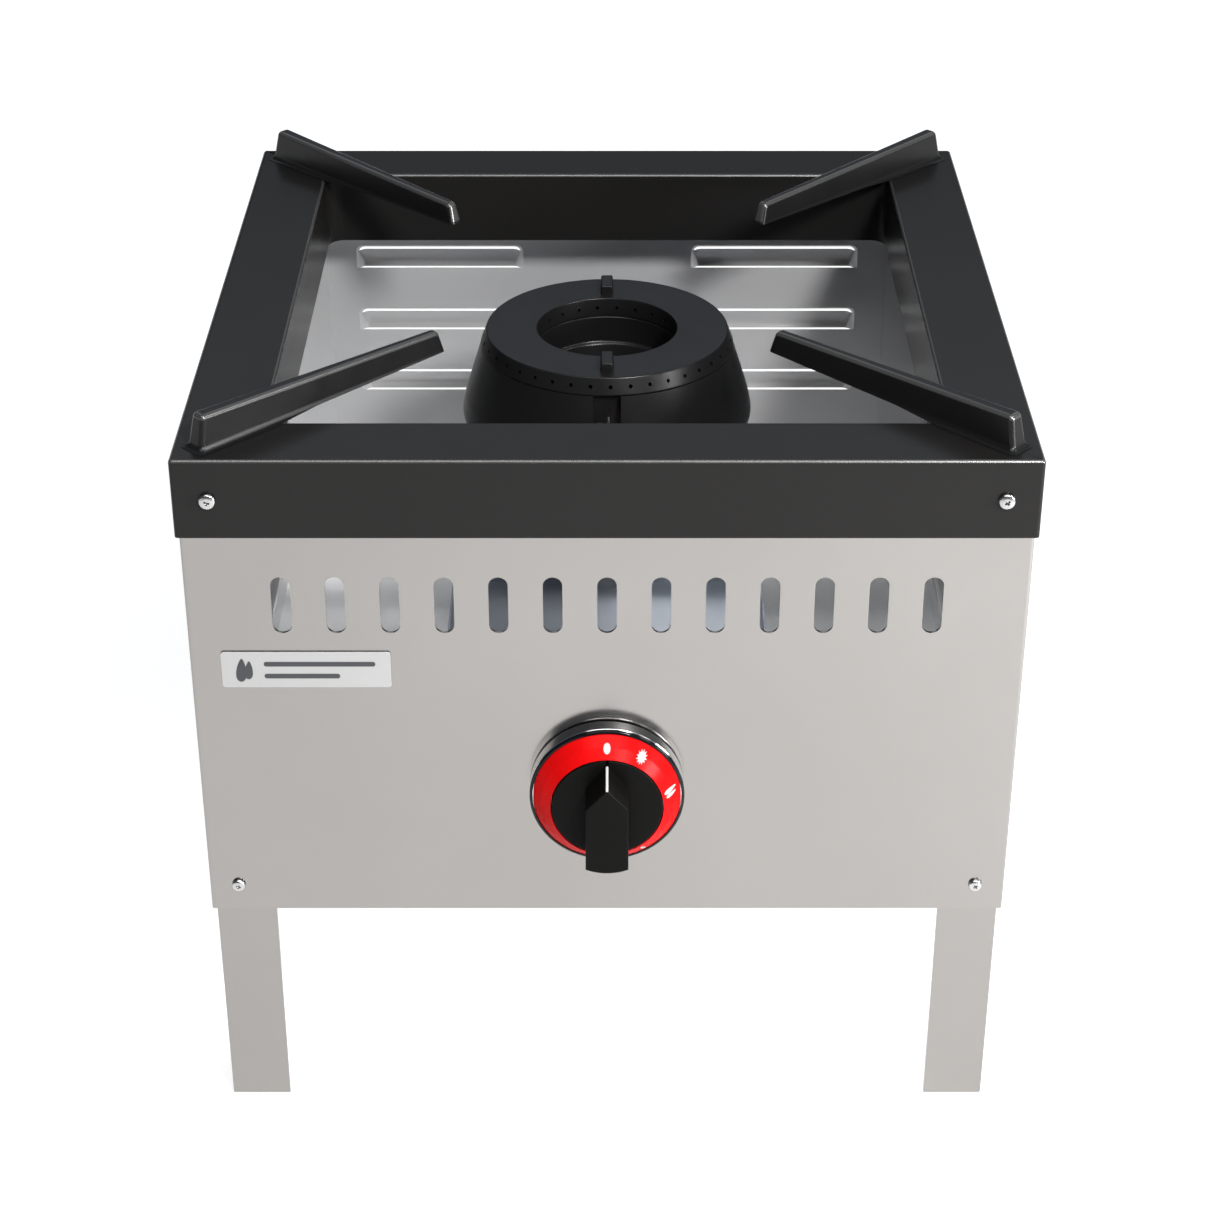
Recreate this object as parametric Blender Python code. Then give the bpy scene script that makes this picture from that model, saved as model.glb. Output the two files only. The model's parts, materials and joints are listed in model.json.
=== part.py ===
"""Single-burner gas stockpot stove on four angle legs, built as separate pieces.

A black pressed frame with four cast pan supports sits on a folded stainless cabinet. A ring
burner with a lift-off cap stands on two crossbars in the opening, and a gas tap behind the
front panel feeds it. X runs to the right, +Y to the back and +Z up; the floor is Z = 0.

Shapes are drawn in millimetres round the middle of the frame, and scaled to metres as each
piece is finished. The whole stove hangs from one empty, which puts the middle of its
bounding box, knob and rear louvres included, on the origin.
"""
import math

import bmesh
import bpy
from mathutils import Matrix, Vector

MM = 0.001
GAP = 0.3                 # clearance between pieces that touch

# Driving sizes
FRAME_HALF = 200.0        # outside of the pressed frame
OPENING_HALF = 160.0      # its square opening
FRAME_TOP = 373.0
SKIRT_DEPTH = 40.0        # outer skirt and inner flange
SHEET = 1.5
EDGE_RADIUS = 1.2
OUTER_CORNER = 2.0
OPENING_CORNER = 9.0

PANEL_HALF = 198.2        # outside of the cabinet
PANEL_FACE = 198.0        # front and rear faces of the cabinet
PANEL_BOTTOM = 120.6
PANEL_TOP = 371.0
PANEL_RETURN = 18.0
PANEL_BEND = 1.8

LEG_FACE = 196.0
LEG_WIDTH = 30.0
LEG_SHEET = 2.0

SLOT_COUNT = 13
SLOT_PITCH = 25.5
SLOT_WIDTH = 9.2
SLOT_HEIGHT = 30.0
SLOT_CENTRE_Z = 296.0

LOUVRE_INNER_X = 50.0
LOUVRE_OUTER_X = 148.5
LOUVRE_HEIGHT = 14.7
LOUVRE_DEPTH = 3.8
LOUVRE_TAPER = 3.0
LOUVRE_LIP = 5.0        # height of the hood's nose above its open edge
LOUVRE_PITCH = 40.0
LOUVRE_ROWS = 5
LOUVRE_TOP_Z = 314.6

TRAY_HALF = 193.5
TRAY_FLOOR_Z = 127.0
TRAY_RIM_Z = 145.0
TRAY_SHEET = 1.2
TRAY_LOUVRE_X = (25.2, 123.7)
TRAY_LOUVRE_Y = 80.6

SHIELD_HALF_X = 91.5
SHIELD_HALF_Y = 120.0
SHIELD_RIM_Z = 142.0

KNOB_Z = 195.0            # height of the tap's axis
KNOB_DISC_RADIUS = 26.8
KNOB_FACE = 235.5         # distance of the grip's front face from the frame's middle
KNOB_HOLE_RADIUS = 7.0

TUBE_Z = 295.0            # axis of the burner's mixing tube
TUBE_RADIUS = 15.0
TUBE_BORE = 12.0
TUBE_MOUTH = -138.0

SKIRT_SCREW_X = 183.3
SKIRT_SCREW_Z = 352.6
PANEL_SCREW_X = 183.7
PANEL_SCREW_Z = 135.3
SCREW_SHANK = 2.0
SCREW_HOLE = 2.35

BOLT_X = 34.0             # bolts under the burner
BOLT_Y = 38.0
BAR_TOP_Z = 269.7
BAR_THICK = 3.0
BAR_HALF_WIDTH = 11.0

PIPE_X = -13.1            # gas pipe from the tap up to the injector
PIPE_Y = -158.0
INLET_X = 110.0
INLET_Y = 10.0

# The grip reaches further forward than the rear frame screws reach back.
FRAME_SCREW_RADIUS = 4.0
FRAME_SCREW_TALL = 0.714 * FRAME_SCREW_RADIUS
DEPTH_SHIFT = (KNOB_FACE - FRAME_HALF - GAP - FRAME_SCREW_TALL) / 2

COLOURS = {               # colour, metallic, roughness
    "black_enamel": ((0.035, 0.036, 0.040), 0.0, 0.42),
    "cast_iron": ((0.030, 0.031, 0.034), 0.2, 0.55),
    "stainless": ((0.62, 0.60, 0.58), 1.0, 0.34),
    "galvanised": ((0.55, 0.56, 0.57), 1.0, 0.45),
    "zinc_screw": ((0.72, 0.72, 0.72), 1.0, 0.28),
    "label_white": ((0.80, 0.80, 0.80), 0.0, 0.45),
    "dial_red": ((0.70, 0.012, 0.014), 0.0, 0.32),
    "knob_black": ((0.012, 0.012, 0.012), 0.0, 0.38),
    "bezel_black": ((0.006, 0.007, 0.009), 0.0, 0.10),
    "chrome": ((0.80, 0.80, 0.80), 1.0, 0.08),
    "brass": ((0.72, 0.52, 0.22), 1.0, 0.32),
    "copper": ((0.78, 0.40, 0.24), 1.0, 0.30),
    "spring_steel": ((0.50, 0.50, 0.52), 1.0, 0.30),
}


# ---------------------------------------------------------------- shape helpers

def clear_scene():
    for obj in list(bpy.data.objects):
        bpy.data.objects.remove(obj, do_unlink=True)


def make_material(name):
    colour, metallic, roughness = COLOURS[name]
    material = bpy.data.materials.new(name)
    material.use_nodes = True
    shader = material.node_tree.nodes["Principled BSDF"]
    shader.inputs["Base Color"].default_value = (*colour, 1.0)
    shader.inputs["Metallic"].default_value = metallic
    shader.inputs["Roughness"].default_value = roughness
    material.diffuse_color = (*colour, 1.0)
    return material


def skin(loops, ring=False):
    """Closed surface through loops with equal point counts: a ring, or capped at both ends."""
    bm = bmesh.new()
    rows = [[bm.verts.new(point) for point in loop] for loop in loops]
    following = rows[1:] + ([rows[0]] if ring else [])
    for row, after in zip(rows, following):
        for i in range(len(row)):
            j = (i + 1) % len(row)
            bm.faces.new((row[i], row[j], after[j], after[i]))
    if not ring:
        bm.faces.new(rows[0])
        bm.faces.new(rows[-1])
    bmesh.ops.recalc_face_normals(bm, faces=bm.faces)
    return bm


def rounded_square(half_x, half_y, radius, z, steps=5):
    """Points of a rectangle with round corners, at height z."""
    points = []
    for quarter, (sx, sy) in enumerate(((1, 1), (-1, 1), (-1, -1), (1, -1))):
        centre_x = sx * (half_x - radius)
        centre_y = sy * (half_y - radius)
        for step in range(steps + 1):
            angle = math.radians(90 * (quarter + step / steps))
            points.append((centre_x + radius * math.cos(angle),
                           centre_y + radius * math.sin(angle), z))
    return points


def prism(outline, axis, low, high):
    """Outline swept along one axis. It is (y, z) for x, (x, z) for y and (x, y) for z."""
    place = {
        "x": lambda a, b, h: (h, a, b),
        "y": lambda a, b, h: (a, h, b),
        "z": lambda a, b, h: (a, b, h),
    }[axis]
    return skin([[place(a, b, h) for a, b in outline] for h in (low, high)])


def block(x0, x1, y0, y1, z0, z1):
    return prism([(x0, y0), (x1, y0), (x1, y1), (x0, y1)], "z", z0, z1)


def turned(profile, origin=(0, 0, 0), direction=(0, 0, 1), steps=32):
    """Solid of revolution. The profile is (radius, height along the direction).

    A profile that starts and ends on the axis gives a solid, any other gives a ring.
    A flat end is one face.
    """
    bm = bmesh.new()
    turn = Vector(direction).to_track_quat("Z", "Y")
    is_ring = profile[0][0] > 0
    flat_start = not is_ring and profile[0][1] == profile[1][1]
    flat_end = not is_ring and profile[-1][1] == profile[-2][1]
    profile = profile[1 if flat_start else 0:-1 if flat_end else None]
    rows = []
    for radius, height in profile:
        count = steps if radius > 0 else 1
        row = []
        for i in range(count):
            angle = 2 * math.pi * i / steps
            local = Vector((radius * math.cos(angle), radius * math.sin(angle), height))
            row.append(bm.verts.new(Vector(origin) + turn @ local))
        rows.append(row)
    pairs = list(zip(rows, rows[1:]))
    if is_ring:
        pairs.append((rows[-1], rows[0]))
    if flat_start:
        bm.faces.new(rows[0])
    if flat_end:
        bm.faces.new(rows[-1])
    for row, after in pairs:
        for i in range(steps):
            j = (i + 1) % steps
            corners = [row[i % len(row)], row[j % len(row)],
                       after[j % len(after)], after[i % len(after)]]
            bm.faces.new(list(dict.fromkeys(corners)))
    bmesh.ops.recalc_face_normals(bm, faces=bm.faces)
    return bm


def rod(start, end, radius, steps=16):
    start, end = Vector(start), Vector(end)
    length = (end - start).length
    profile = [(0, 0), (radius, 0), (radius, length), (0, length)]
    return turned(profile, start, end - start, steps)


def hex_nut(across, bore, origin, direction, length):
    """Hexagonal nut with a round bore."""
    turn = Vector(direction).to_track_quat("Z", "Y")
    steps = 24
    outer, inner = [], []
    for i in range(steps):
        angle = 2 * math.pi * i / steps
        within = (angle + math.pi / 6) % (math.pi / 3) - math.pi / 6
        reach = across / 2 / math.cos(within)
        outer.append((reach * math.cos(angle), reach * math.sin(angle)))
        inner.append((bore * math.cos(angle), bore * math.sin(angle)))
    loops = [[Vector(origin) + turn @ Vector((a, b, h)) for a, b in loop]
             for loop, h in ((outer, 0), (outer, length), (inner, length), (inner, 0))]
    return skin(loops, ring=True)


def smooth_path(points, per_span):
    """Catmull-Rom curve through the points of a pipe's route."""
    path = [Vector(p) for p in points]
    padded = [2 * path[0] - path[1]] + path + [2 * path[-1] - path[-2]]
    result = []
    for a, b, c, d in zip(padded, padded[1:], padded[2:], padded[3:]):
        for step in range(per_span):
            t = step / per_span
            result.append(0.5 * (2 * b + (c - a) * t + (2 * a - 5 * b + 4 * c - d) * t * t
                                 + (3 * b - a - 3 * c + d) * t ** 3))
    result.append(path[-1])
    return result


def merged(*shapes):
    """Several separate solids in one mesh, for a cutter."""
    total = bmesh.new()
    for shape in shapes:
        mesh = bpy.data.meshes.new("part")
        shape.to_mesh(mesh)
        shape.free()
        total.from_mesh(mesh)
        bpy.data.meshes.remove(mesh)
    return total


# ---------------------------------------------------------------- the assembly

class Stove:
    """Holds the empties and materials that every piece hangs from."""

    def __init__(self):
        clear_scene()
        self.materials = {name: make_material(name) for name in COLOURS}
        self.origin = self.empty("stove_origin", (0, DEPTH_SHIFT, 0), None)

    def empty(self, name, place, parent):
        obj = bpy.data.objects.new(name, None)
        obj.location = Vector(place) * MM
        obj.parent = parent
        bpy.context.collection.objects.link(obj)
        return obj

    def axis(self, name, place):
        return self.empty(name, place, self.origin)

    def hang(self, obj, axis):
        """Parent a piece drawn in stove coordinates to the stove or to a joint's axis."""
        bpy.context.collection.objects.link(obj)
        obj.parent = axis or self.origin
        if axis:
            obj.location = -axis.location
        return obj

    def piece(self, name, bm, material, axis=None, crease=35):
        mesh = bpy.data.meshes.new(name)
        bmesh.ops.scale(bm, vec=(MM, MM, MM), verts=bm.verts)
        bm.to_mesh(mesh)
        bm.free()
        mesh.shade_smooth()
        mesh.set_sharp_from_angle(angle=math.radians(crease))
        mesh.materials.append(self.materials[material])
        return self.hang(bpy.data.objects.new(name, mesh), axis)

    def pipe(self, name, points, radius, material, per_span=3):
        curve = bpy.data.curves.new(name, "CURVE")
        curve.dimensions = "3D"
        curve.bevel_depth = radius * MM
        curve.bevel_resolution = 1
        curve.use_fill_caps = True
        path = smooth_path(points, per_span)
        spline = curve.splines.new("POLY")
        spline.points.add(len(path) - 1)
        for point, place in zip(spline.points, path):
            point.co = (*(place * MM), 1.0)
        curve.materials.append(self.materials[material])
        return self.hang(bpy.data.objects.new(name, curve), None)

    def shape_with(self, target, bm, operation):
        """Boolean between a piece and a guide shape that the model leaves out."""
        mesh = bpy.data.meshes.new("guide")
        bmesh.ops.scale(bm, vec=(MM, MM, MM), verts=bm.verts)
        bm.to_mesh(mesh)
        bm.free()
        name = f"guide_{target.name}_{len(target.modifiers)}"
        guide = self.hang(bpy.data.objects.new(name, mesh), None)
        guide.parent = target.parent
        guide.location = target.location
        guide.hide_render = True
        guide.display_type = "WIRE"
        modifier = target.modifiers.new(operation.lower(), "BOOLEAN")
        modifier.operation = operation
        modifier.solver = "EXACT"
        modifier.object = guide

    def cut(self, target, *shapes):
        self.shape_with(target, merged(*shapes), "DIFFERENCE")

    def fuse(self, target, *shapes):
        self.shape_with(target, merged(*shapes), "UNION")


def screw_bores(side, x, z):
    """Clearance holes for the left and right screws of the front (-1) or rear (+1) face."""
    return [rod((sx * x, side * 188, z), (sx * x, side * 202, z), SCREW_HOLE)
            for sx in (-1, 1)]


# ---------------------------------------------------------------- frame and supports

def build_frame(stove):
    """Pressed frame: loops once round the inverted-U section of its sheet."""
    bottom = FRAME_TOP - SKIRT_DEPTH
    rows = [(FRAME_HALF, OUTER_CORNER, bottom)]
    for angle in (0, 30, 60, 90):
        inset = EDGE_RADIUS * (1 - math.cos(math.radians(angle)))
        drop = EDGE_RADIUS * (1 - math.sin(math.radians(angle)))
        rows.append((FRAME_HALF - inset, OUTER_CORNER - inset, FRAME_TOP - drop))
    for angle in (90, 60, 30, 0):
        inset = EDGE_RADIUS * (1 - math.cos(math.radians(angle)))
        drop = EDGE_RADIUS * (1 - math.sin(math.radians(angle)))
        rows.append((OPENING_HALF + inset, OPENING_CORNER + inset, FRAME_TOP - drop))
    rows.append((OPENING_HALF, OPENING_CORNER, bottom))
    back = OPENING_HALF + SHEET
    rows.append((back, OPENING_CORNER + SHEET, bottom))
    rows.append((back, OPENING_CORNER + SHEET, FRAME_TOP - SHEET))
    inside = FRAME_HALF - SHEET
    rows.append((inside, OUTER_CORNER - SHEET, FRAME_TOP - SHEET))
    rows.append((inside, OUTER_CORNER - SHEET, bottom))
    loops = [rounded_square(half, half, corner, z) for half, corner, z in rows]
    frame = stove.piece("top_frame", skin(loops, ring=True), "black_enamel")
    stove.cut(frame, *screw_bores(-1, SKIRT_SCREW_X, SKIRT_SCREW_Z),
              *screw_bores(1, SKIRT_SCREW_X, SKIRT_SCREW_Z))


def build_pan_supports(stove):
    """Four tapered bars on the diagonals. Side outline: reach, height, half width."""
    outline = [
        (267.6, GAP, 5.5),
        (263.6, 17.0, 4.1),
        (118.4, 13.3, 2.9),
        (115.4, 1.7, 4.4),
        (OPENING_HALF * math.sqrt(2), GAP, 5.3),
    ]
    places = {"front_left": (-1, -1), "front_right": (1, -1),
              "rear_left": (-1, 1), "rear_right": (1, 1)}
    for name, (sx, sy) in places.items():
        along = Vector((sx, sy, 0)).normalized()
        across = Vector((-sy, sx, 0)).normalized()
        loops = [[along * reach + across * side * half + Vector((0, 0, FRAME_TOP + z))
                  for reach, z, half in outline] for side in (-1, 1)]
        bm = skin(loops)
        upper = [e for e in bm.edges if max(v.co.z for v in e.verts) > FRAME_TOP + 5]
        bmesh.ops.bevel(bm, geom=upper, offset=1.6, segments=2, profile=0.5,
                        affect="EDGES", clamp_overlap=True)
        stove.piece(f"pan_support_{name}", bm, "cast_iron")


# ---------------------------------------------------------------- cabinet

def channel_outline(side):
    """Plan of a front (-1) or rear (+1) panel with its two side returns."""
    def corner(inset, sx):
        radius = PANEL_BEND - inset
        centre_x = sx * (PANEL_HALF - PANEL_BEND)
        centre_y = PANEL_FACE - PANEL_BEND
        angles = [0, 30, 60, 90] if sx > 0 else [90, 120, 150, 180]
        return [(centre_x + radius * math.cos(math.radians(a)),
                 side * (centre_y + radius * math.sin(math.radians(a)))) for a in angles]

    end = side * (PANEL_FACE - PANEL_RETURN)
    outer = [(PANEL_HALF, end)] + corner(0, 1) + corner(0, -1) + [(-PANEL_HALF, end)]
    inner_half = PANEL_HALF - SHEET
    inner = [(inner_half, end)] + corner(SHEET, 1) + corner(SHEET, -1) + [(-inner_half, end)]
    return outer + inner[::-1]


def obround(x, z, width, height, steps=5):
    """Outline of an upright slot with round ends."""
    radius = width / 2
    lift = height / 2 - radius
    points = []
    for shift, start in ((lift, 0), (-lift, 180)):
        for i in range(steps + 1):
            angle = math.radians(start + 180 * i / steps)
            points.append((x + radius * math.cos(angle), z + shift + radius * math.sin(angle)))
    return points


def build_front_panel(stove):
    panel = stove.piece("front_panel", prism(channel_outline(-1), "z", PANEL_BOTTOM, PANEL_TOP),
                        "stainless")
    half_row = (SLOT_COUNT - 1) / 2
    slots = [prism(obround((i - half_row) * SLOT_PITCH, SLOT_CENTRE_Z, SLOT_WIDTH, SLOT_HEIGHT),
                   "y", -202, -192) for i in range(SLOT_COUNT)]
    stove.cut(panel, *slots)
    stove.cut(panel, rod((0, -202, KNOB_Z), (0, -192, KNOB_Z), KNOB_HOLE_RADIUS, 24),
              *screw_bores(-1, SKIRT_SCREW_X, SKIRT_SCREW_Z),
              *screw_bores(-1, PANEL_SCREW_X, PANEL_SCREW_Z))


def louvre(x0, x1, place, shell):
    """Pressed hood, wide at the sheet and open at its low edge.

    place turns (along, up from the open edge, out of the sheet's outer face) into a point.
    shell is 0 for the hood's outside and the sheet's thickness for its hollow.
    """
    base = -0.6 * SHEET if shell == 0 else -SHEET - 1
    tip = LOUVRE_DEPTH - shell
    open_edge = 0 if shell == 0 else -0.6
    foot = [(x0 + shell, open_edge), (x1 - shell, open_edge),
            (x1 - shell, LOUVRE_HEIGHT - shell), (x0 + shell, LOUVRE_HEIGHT - shell)]
    left, right = x0 + LOUVRE_TAPER + shell, x1 - LOUVRE_TAPER - shell
    nose_top = LOUVRE_LIP - shell
    nose = [(left, open_edge), (right, open_edge), (right, nose_top), (left, nose_top)]
    return skin([[place(a, b, base) for a, b in foot], [place(a, b, tip) for a, b in nose]])


def add_louvres(stove, panel, spans, places):
    """Fuse the hoods to a sheet, then open their hollows."""
    for shell, action in ((0, stove.fuse), (SHEET * 0.8, stove.cut)):
        action(panel, *[louvre(x0, x1, place, shell) for place in places for x0, x1 in spans])


def mirrored_spans(inner, outer):
    return [(-outer, -inner), (inner, outer)]


def build_rear_panel(stove):
    panel = stove.piece("rear_panel", prism(channel_outline(1), "z", PANEL_BOTTOM, PANEL_TOP),
                        "stainless")

    def row(index):
        open_z = LOUVRE_TOP_Z - LOUVRE_HEIGHT - index * LOUVRE_PITCH
        return lambda along, up, out: (along, PANEL_FACE + out, open_z + up)

    add_louvres(stove, panel, mirrored_spans(LOUVRE_INNER_X, LOUVRE_OUTER_X),
                [row(index) for index in range(LOUVRE_ROWS)])
    stove.cut(panel, *screw_bores(1, SKIRT_SCREW_X, SKIRT_SCREW_Z),
              *screw_bores(1, PANEL_SCREW_X, PANEL_SCREW_Z))


def build_side_panels(stove):
    reach = PANEL_FACE - PANEL_RETURN - GAP - 0.1
    for name, sx in (("left", -1), ("right", 1)):
        x0, x1 = sorted((sx * PANEL_HALF, sx * (PANEL_HALF - SHEET)))
        stove.piece(f"{name}_side_panel",
                    block(x0, x1, -reach, reach, PANEL_BOTTOM, PANEL_TOP), "stainless")


def build_legs(stove):
    """Folded angle legs, with a rounded outer bend."""
    bend = 2.5
    inner_edge = LEG_FACE - LEG_WIDTH
    for name_y, sy in (("front", -1), ("rear", 1)):
        for name_x, sx in (("left", -1), ("right", 1)):
            outline = [(inner_edge, LEG_FACE)]
            for angle in (90, 60, 30, 0):
                turn = math.radians(angle)
                outline.append((LEG_FACE - bend + bend * math.cos(turn),
                                LEG_FACE - bend + bend * math.sin(turn)))
            inside = LEG_FACE - LEG_SHEET
            outline += [(LEG_FACE, inner_edge), (inside, inner_edge),
                        (inside, inside), (inner_edge, inside)]
            plan = [(sx * x, sy * y) for x, y in outline]
            leg = stove.piece(f"leg_{name_y}_{name_x}", prism(plan, "z", 0, PANEL_TOP),
                              "stainless")
            stove.cut(leg, *[rod((sx * x, sy * 190, z), (sx * x, sy * 200, z), SCREW_HOLE)
                             for x, z in ((SKIRT_SCREW_X, SKIRT_SCREW_Z),
                                          (PANEL_SCREW_X, PANEL_SCREW_Z))])


def open_tray(half_x, half_y, floor_z, rim_z, sheet):
    """Shallow tray folded from sheet, open at the top."""
    corner = 3.0
    rows = [
        (0, floor_z), (0, rim_z), (sheet, rim_z), (sheet, floor_z + sheet),
    ]
    loops = [rounded_square(half_x - inset, half_y - inset, corner - inset, z)
             for inset, z in rows]
    return skin(loops)


def build_base_tray(stove):
    tray = stove.piece("base_tray",
                       open_tray(TRAY_HALF, TRAY_HALF, TRAY_FLOOR_Z, TRAY_RIM_Z, TRAY_SHEET),
                       "stainless")
    low_z = TRAY_FLOOR_Z

    def row(open_y):
        return lambda along, up, out: (along, open_y + up, low_z - out * 0.7)

    add_louvres(stove, tray, mirrored_spans(*TRAY_LOUVRE_X),
                [row(TRAY_LOUVRE_Y), row(-TRAY_LOUVRE_Y - LOUVRE_HEIGHT)])
    inlet_hole = rod((INLET_X, INLET_Y, low_z - 4), (INLET_X, INLET_Y, low_z + 4), 11.0, 24)
    stove.cut(tray, inlet_hole, *screw_bores(-1, PANEL_SCREW_X, PANEL_SCREW_Z),
              *screw_bores(1, PANEL_SCREW_X, PANEL_SCREW_Z))


def build_heat_shield(stove):
    floor_z = TRAY_FLOOR_Z + TRAY_SHEET + GAP
    stove.piece("heat_shield", open_tray(SHIELD_HALF_X, SHIELD_HALF_Y, floor_z, SHIELD_RIM_Z, 1.0),
                "galvanised")


def build_name_plate(stove):
    """Blank plate with a raised border."""
    x0, x1, z0, z1 = -183.4, -102.7, 251.4, 270.9
    back, front, border, step = -PANEL_FACE - GAP, -PANEL_FACE - GAP - 0.8, 1.6, 0.3
    plate = stove.piece("name_plate", block(x0, x1, front, back, z0, z1), "label_white")
    stove.cut(plate, block(x0 + border, x1 - border, front - 1, front + step,
                           z0 + border, z1 - border))


# ---------------------------------------------------------------- screws and bolts

def pan_screw(stove, name, x, z, face, side, head_radius):
    """Pan-head screw with a cross recess. side is -1 on the front and +1 on the rear."""
    tall = 0.34 * head_radius
    profile = [(0, -10), (SCREW_SHANK, -9.4), (SCREW_SHANK, 0), (head_radius, 0),
               (head_radius, tall), (0.85 * head_radius, 1.6 * tall),
               (0.5 * head_radius, 2.0 * tall), (0, 2.1 * tall)]
    screw = stove.piece(name, turned(profile, (x, side * face, z), (0, side, 0), 12),
                        "zinc_screw")
    arm, half_width = 0.55 * head_radius, 0.5
    y0, y1 = sorted((side * (face + 0.9 * tall), side * (face + 4 * tall)))
    cross = [(half_width, half_width), (half_width, arm), (-half_width, arm),
             (-half_width, half_width), (-arm, half_width), (-arm, -half_width),
             (-half_width, -half_width), (-half_width, -arm), (half_width, -arm),
             (half_width, -half_width), (arm, -half_width), (arm, half_width)]
    stove.cut(screw, prism([(x + a, z + b) for a, b in cross], "y", y0, y1))


def build_screws(stove):
    for side_name, side in (("front", -1), ("rear", 1)):
        for end_name, sx in (("left", -1), ("right", 1)):
            pan_screw(stove, f"frame_screw_{side_name}_{end_name}", sx * SKIRT_SCREW_X,
                      SKIRT_SCREW_Z, FRAME_HALF + GAP, side, FRAME_SCREW_RADIUS)
            pan_screw(stove, f"panel_screw_{side_name}_{end_name}", sx * PANEL_SCREW_X,
                      PANEL_SCREW_Z, PANEL_FACE + GAP, side, 3.4)


# ---------------------------------------------------------------- burner

BURNER_BODY = [           # radius, height: outer wall down, centre hole up, gas channel
    (66.4, 341.2), (74.6, 314.0), (76.2, 306.5), (76.2, 303.5), (73.9, 296.0), (67.0, 279.0),
    (60.0, 270.0), (31.0, 270.0), (28.0, 273.0), (28.0, 298.0), (34.4, 324.6), (36.0, 325.4),
    (36.0, 339.8), (40.0, 339.8), (40.0, 325.0), (34.0, 281.0), (58.0, 281.0), (64.0, 290.0),
    (70.5, 304.5), (62.6, 341.2),
]
BURNER_CAP = [            # radius, height: top plate, outer lip, channel roof, inner lip
    (36.8, 350.3), (63.0, 350.3), (66.4, 341.6), (62.9, 341.6), (60.2, 347.0), (40.0, 347.0),
    (40.0, 340.1), (36.0, 340.1), (36.0, 349.5),
]
CAP_TOP = 350.3
OUTER_PORTS = 40
INNER_PORTS = 22


def build_burner_body(stove):
    """Cast ring with an open gas channel, a pilot notch and the mixing tube."""
    body = stove.piece("burner_body", turned(BURNER_BODY, steps=48), "cast_iron", crease=40)
    boss = [(-54, 340.9), (-64.6, 340.9), (-72.5, 306), (-72.5, 300), (-54, 300)]
    stove.fuse(body, prism(boss, "x", -11, 11))
    stove.fuse(body, rod((0, -67, TUBE_Z), (0, TUBE_MOUTH, TUBE_Z), TUBE_RADIUS, 32))
    stove.cut(body, rod((0, -45, TUBE_Z), (0, TUBE_MOUTH - 1, TUBE_Z), TUBE_BORE, 32))
    stove.cut(body, block(-7, 7, -90, -62, 313, 345),
              *[rod((sx * BOLT_X, sy * BOLT_Y, 265), (sx * BOLT_X, sy * BOLT_Y, 279), 3.2)
                for sx in (-1, 1) for sy in (-1, 1)])


def port(angle, radius, z, rise, reach):
    """Slim drill for one flame port."""
    out = Vector((math.cos(angle), math.sin(angle), 0))
    lift = Vector((0, 0, math.tan(rise)))
    centre = out * radius + Vector((0, 0, z))
    return rod(centre - (out + lift) * reach, centre + (out + lift) * reach, 1.1, 4)


def build_burner_cap(stove, axis):
    """Lift-off port ring with two lugs on its top."""
    cap = stove.piece("burner_cap", turned(BURNER_CAP, steps=48), "cast_iron", axis, crease=40)
    stove.fuse(cap, *[block(-3.5, 3.5, *sorted((sy * 41.4, sy * 56.8)), CAP_TOP - 1, CAP_TOP + 5)
                      for sy in (-1, 1)])
    tilt = math.atan2(3.4, 8.7)
    first_outer = math.radians(-90 + 1.6)
    outer = [port(first_outer + 2 * math.pi * i / OUTER_PORTS, 64.7, 345.7, tilt, 5)
             for i in range(OUTER_PORTS)]
    first_inner = math.radians(90) + math.pi / INNER_PORTS
    inner = [port(first_inner + 2 * math.pi * i / INNER_PORTS, 38.0, 344.9, 0, 3.2)
             for i in range(INNER_PORTS)]
    stove.cut(cap, *outer, *inner)


def build_crossbars(stove):
    """Flat bars with downturned ends, and the bolts that hold the burner to them."""
    half, drop, top = LEG_FACE, 18.0, BAR_TOP_Z
    outline = [(-half, top), (-half, top - drop), (-half + BAR_THICK, top - drop),
               (-half + BAR_THICK, top - BAR_THICK), (half - BAR_THICK, top - BAR_THICK),
               (half - BAR_THICK, top - drop), (half, top - drop), (half, top)]
    for name_y, sy in (("front", -1), ("rear", 1)):
        middle = sy * BOLT_Y
        bar = stove.piece(f"burner_crossbar_{name_y}",
                          prism(outline, "y", middle - BAR_HALF_WIDTH, middle + BAR_HALF_WIDTH),
                          "galvanised")
        stove.cut(bar, *[rod((sx * BOLT_X, middle, top - 5), (sx * BOLT_X, middle, top + 2), 3.2)
                         for sx in (-1, 1)])
        for name_x, sx in (("left", -1), ("right", 1)):
            seat = top - BAR_THICK - GAP
            profile = [(0, -4), (5.2, -4), (5.2, 0), (2.8, 0), (2.8, 11.5), (0, 11.5)]
            stove.piece(f"burner_bolt_{name_y}_{name_x}",
                        turned(profile, (sx * BOLT_X, middle, seat), (0, 0, 1), 12),
                        "zinc_screw")


# ---------------------------------------------------------------- gas line

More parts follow.
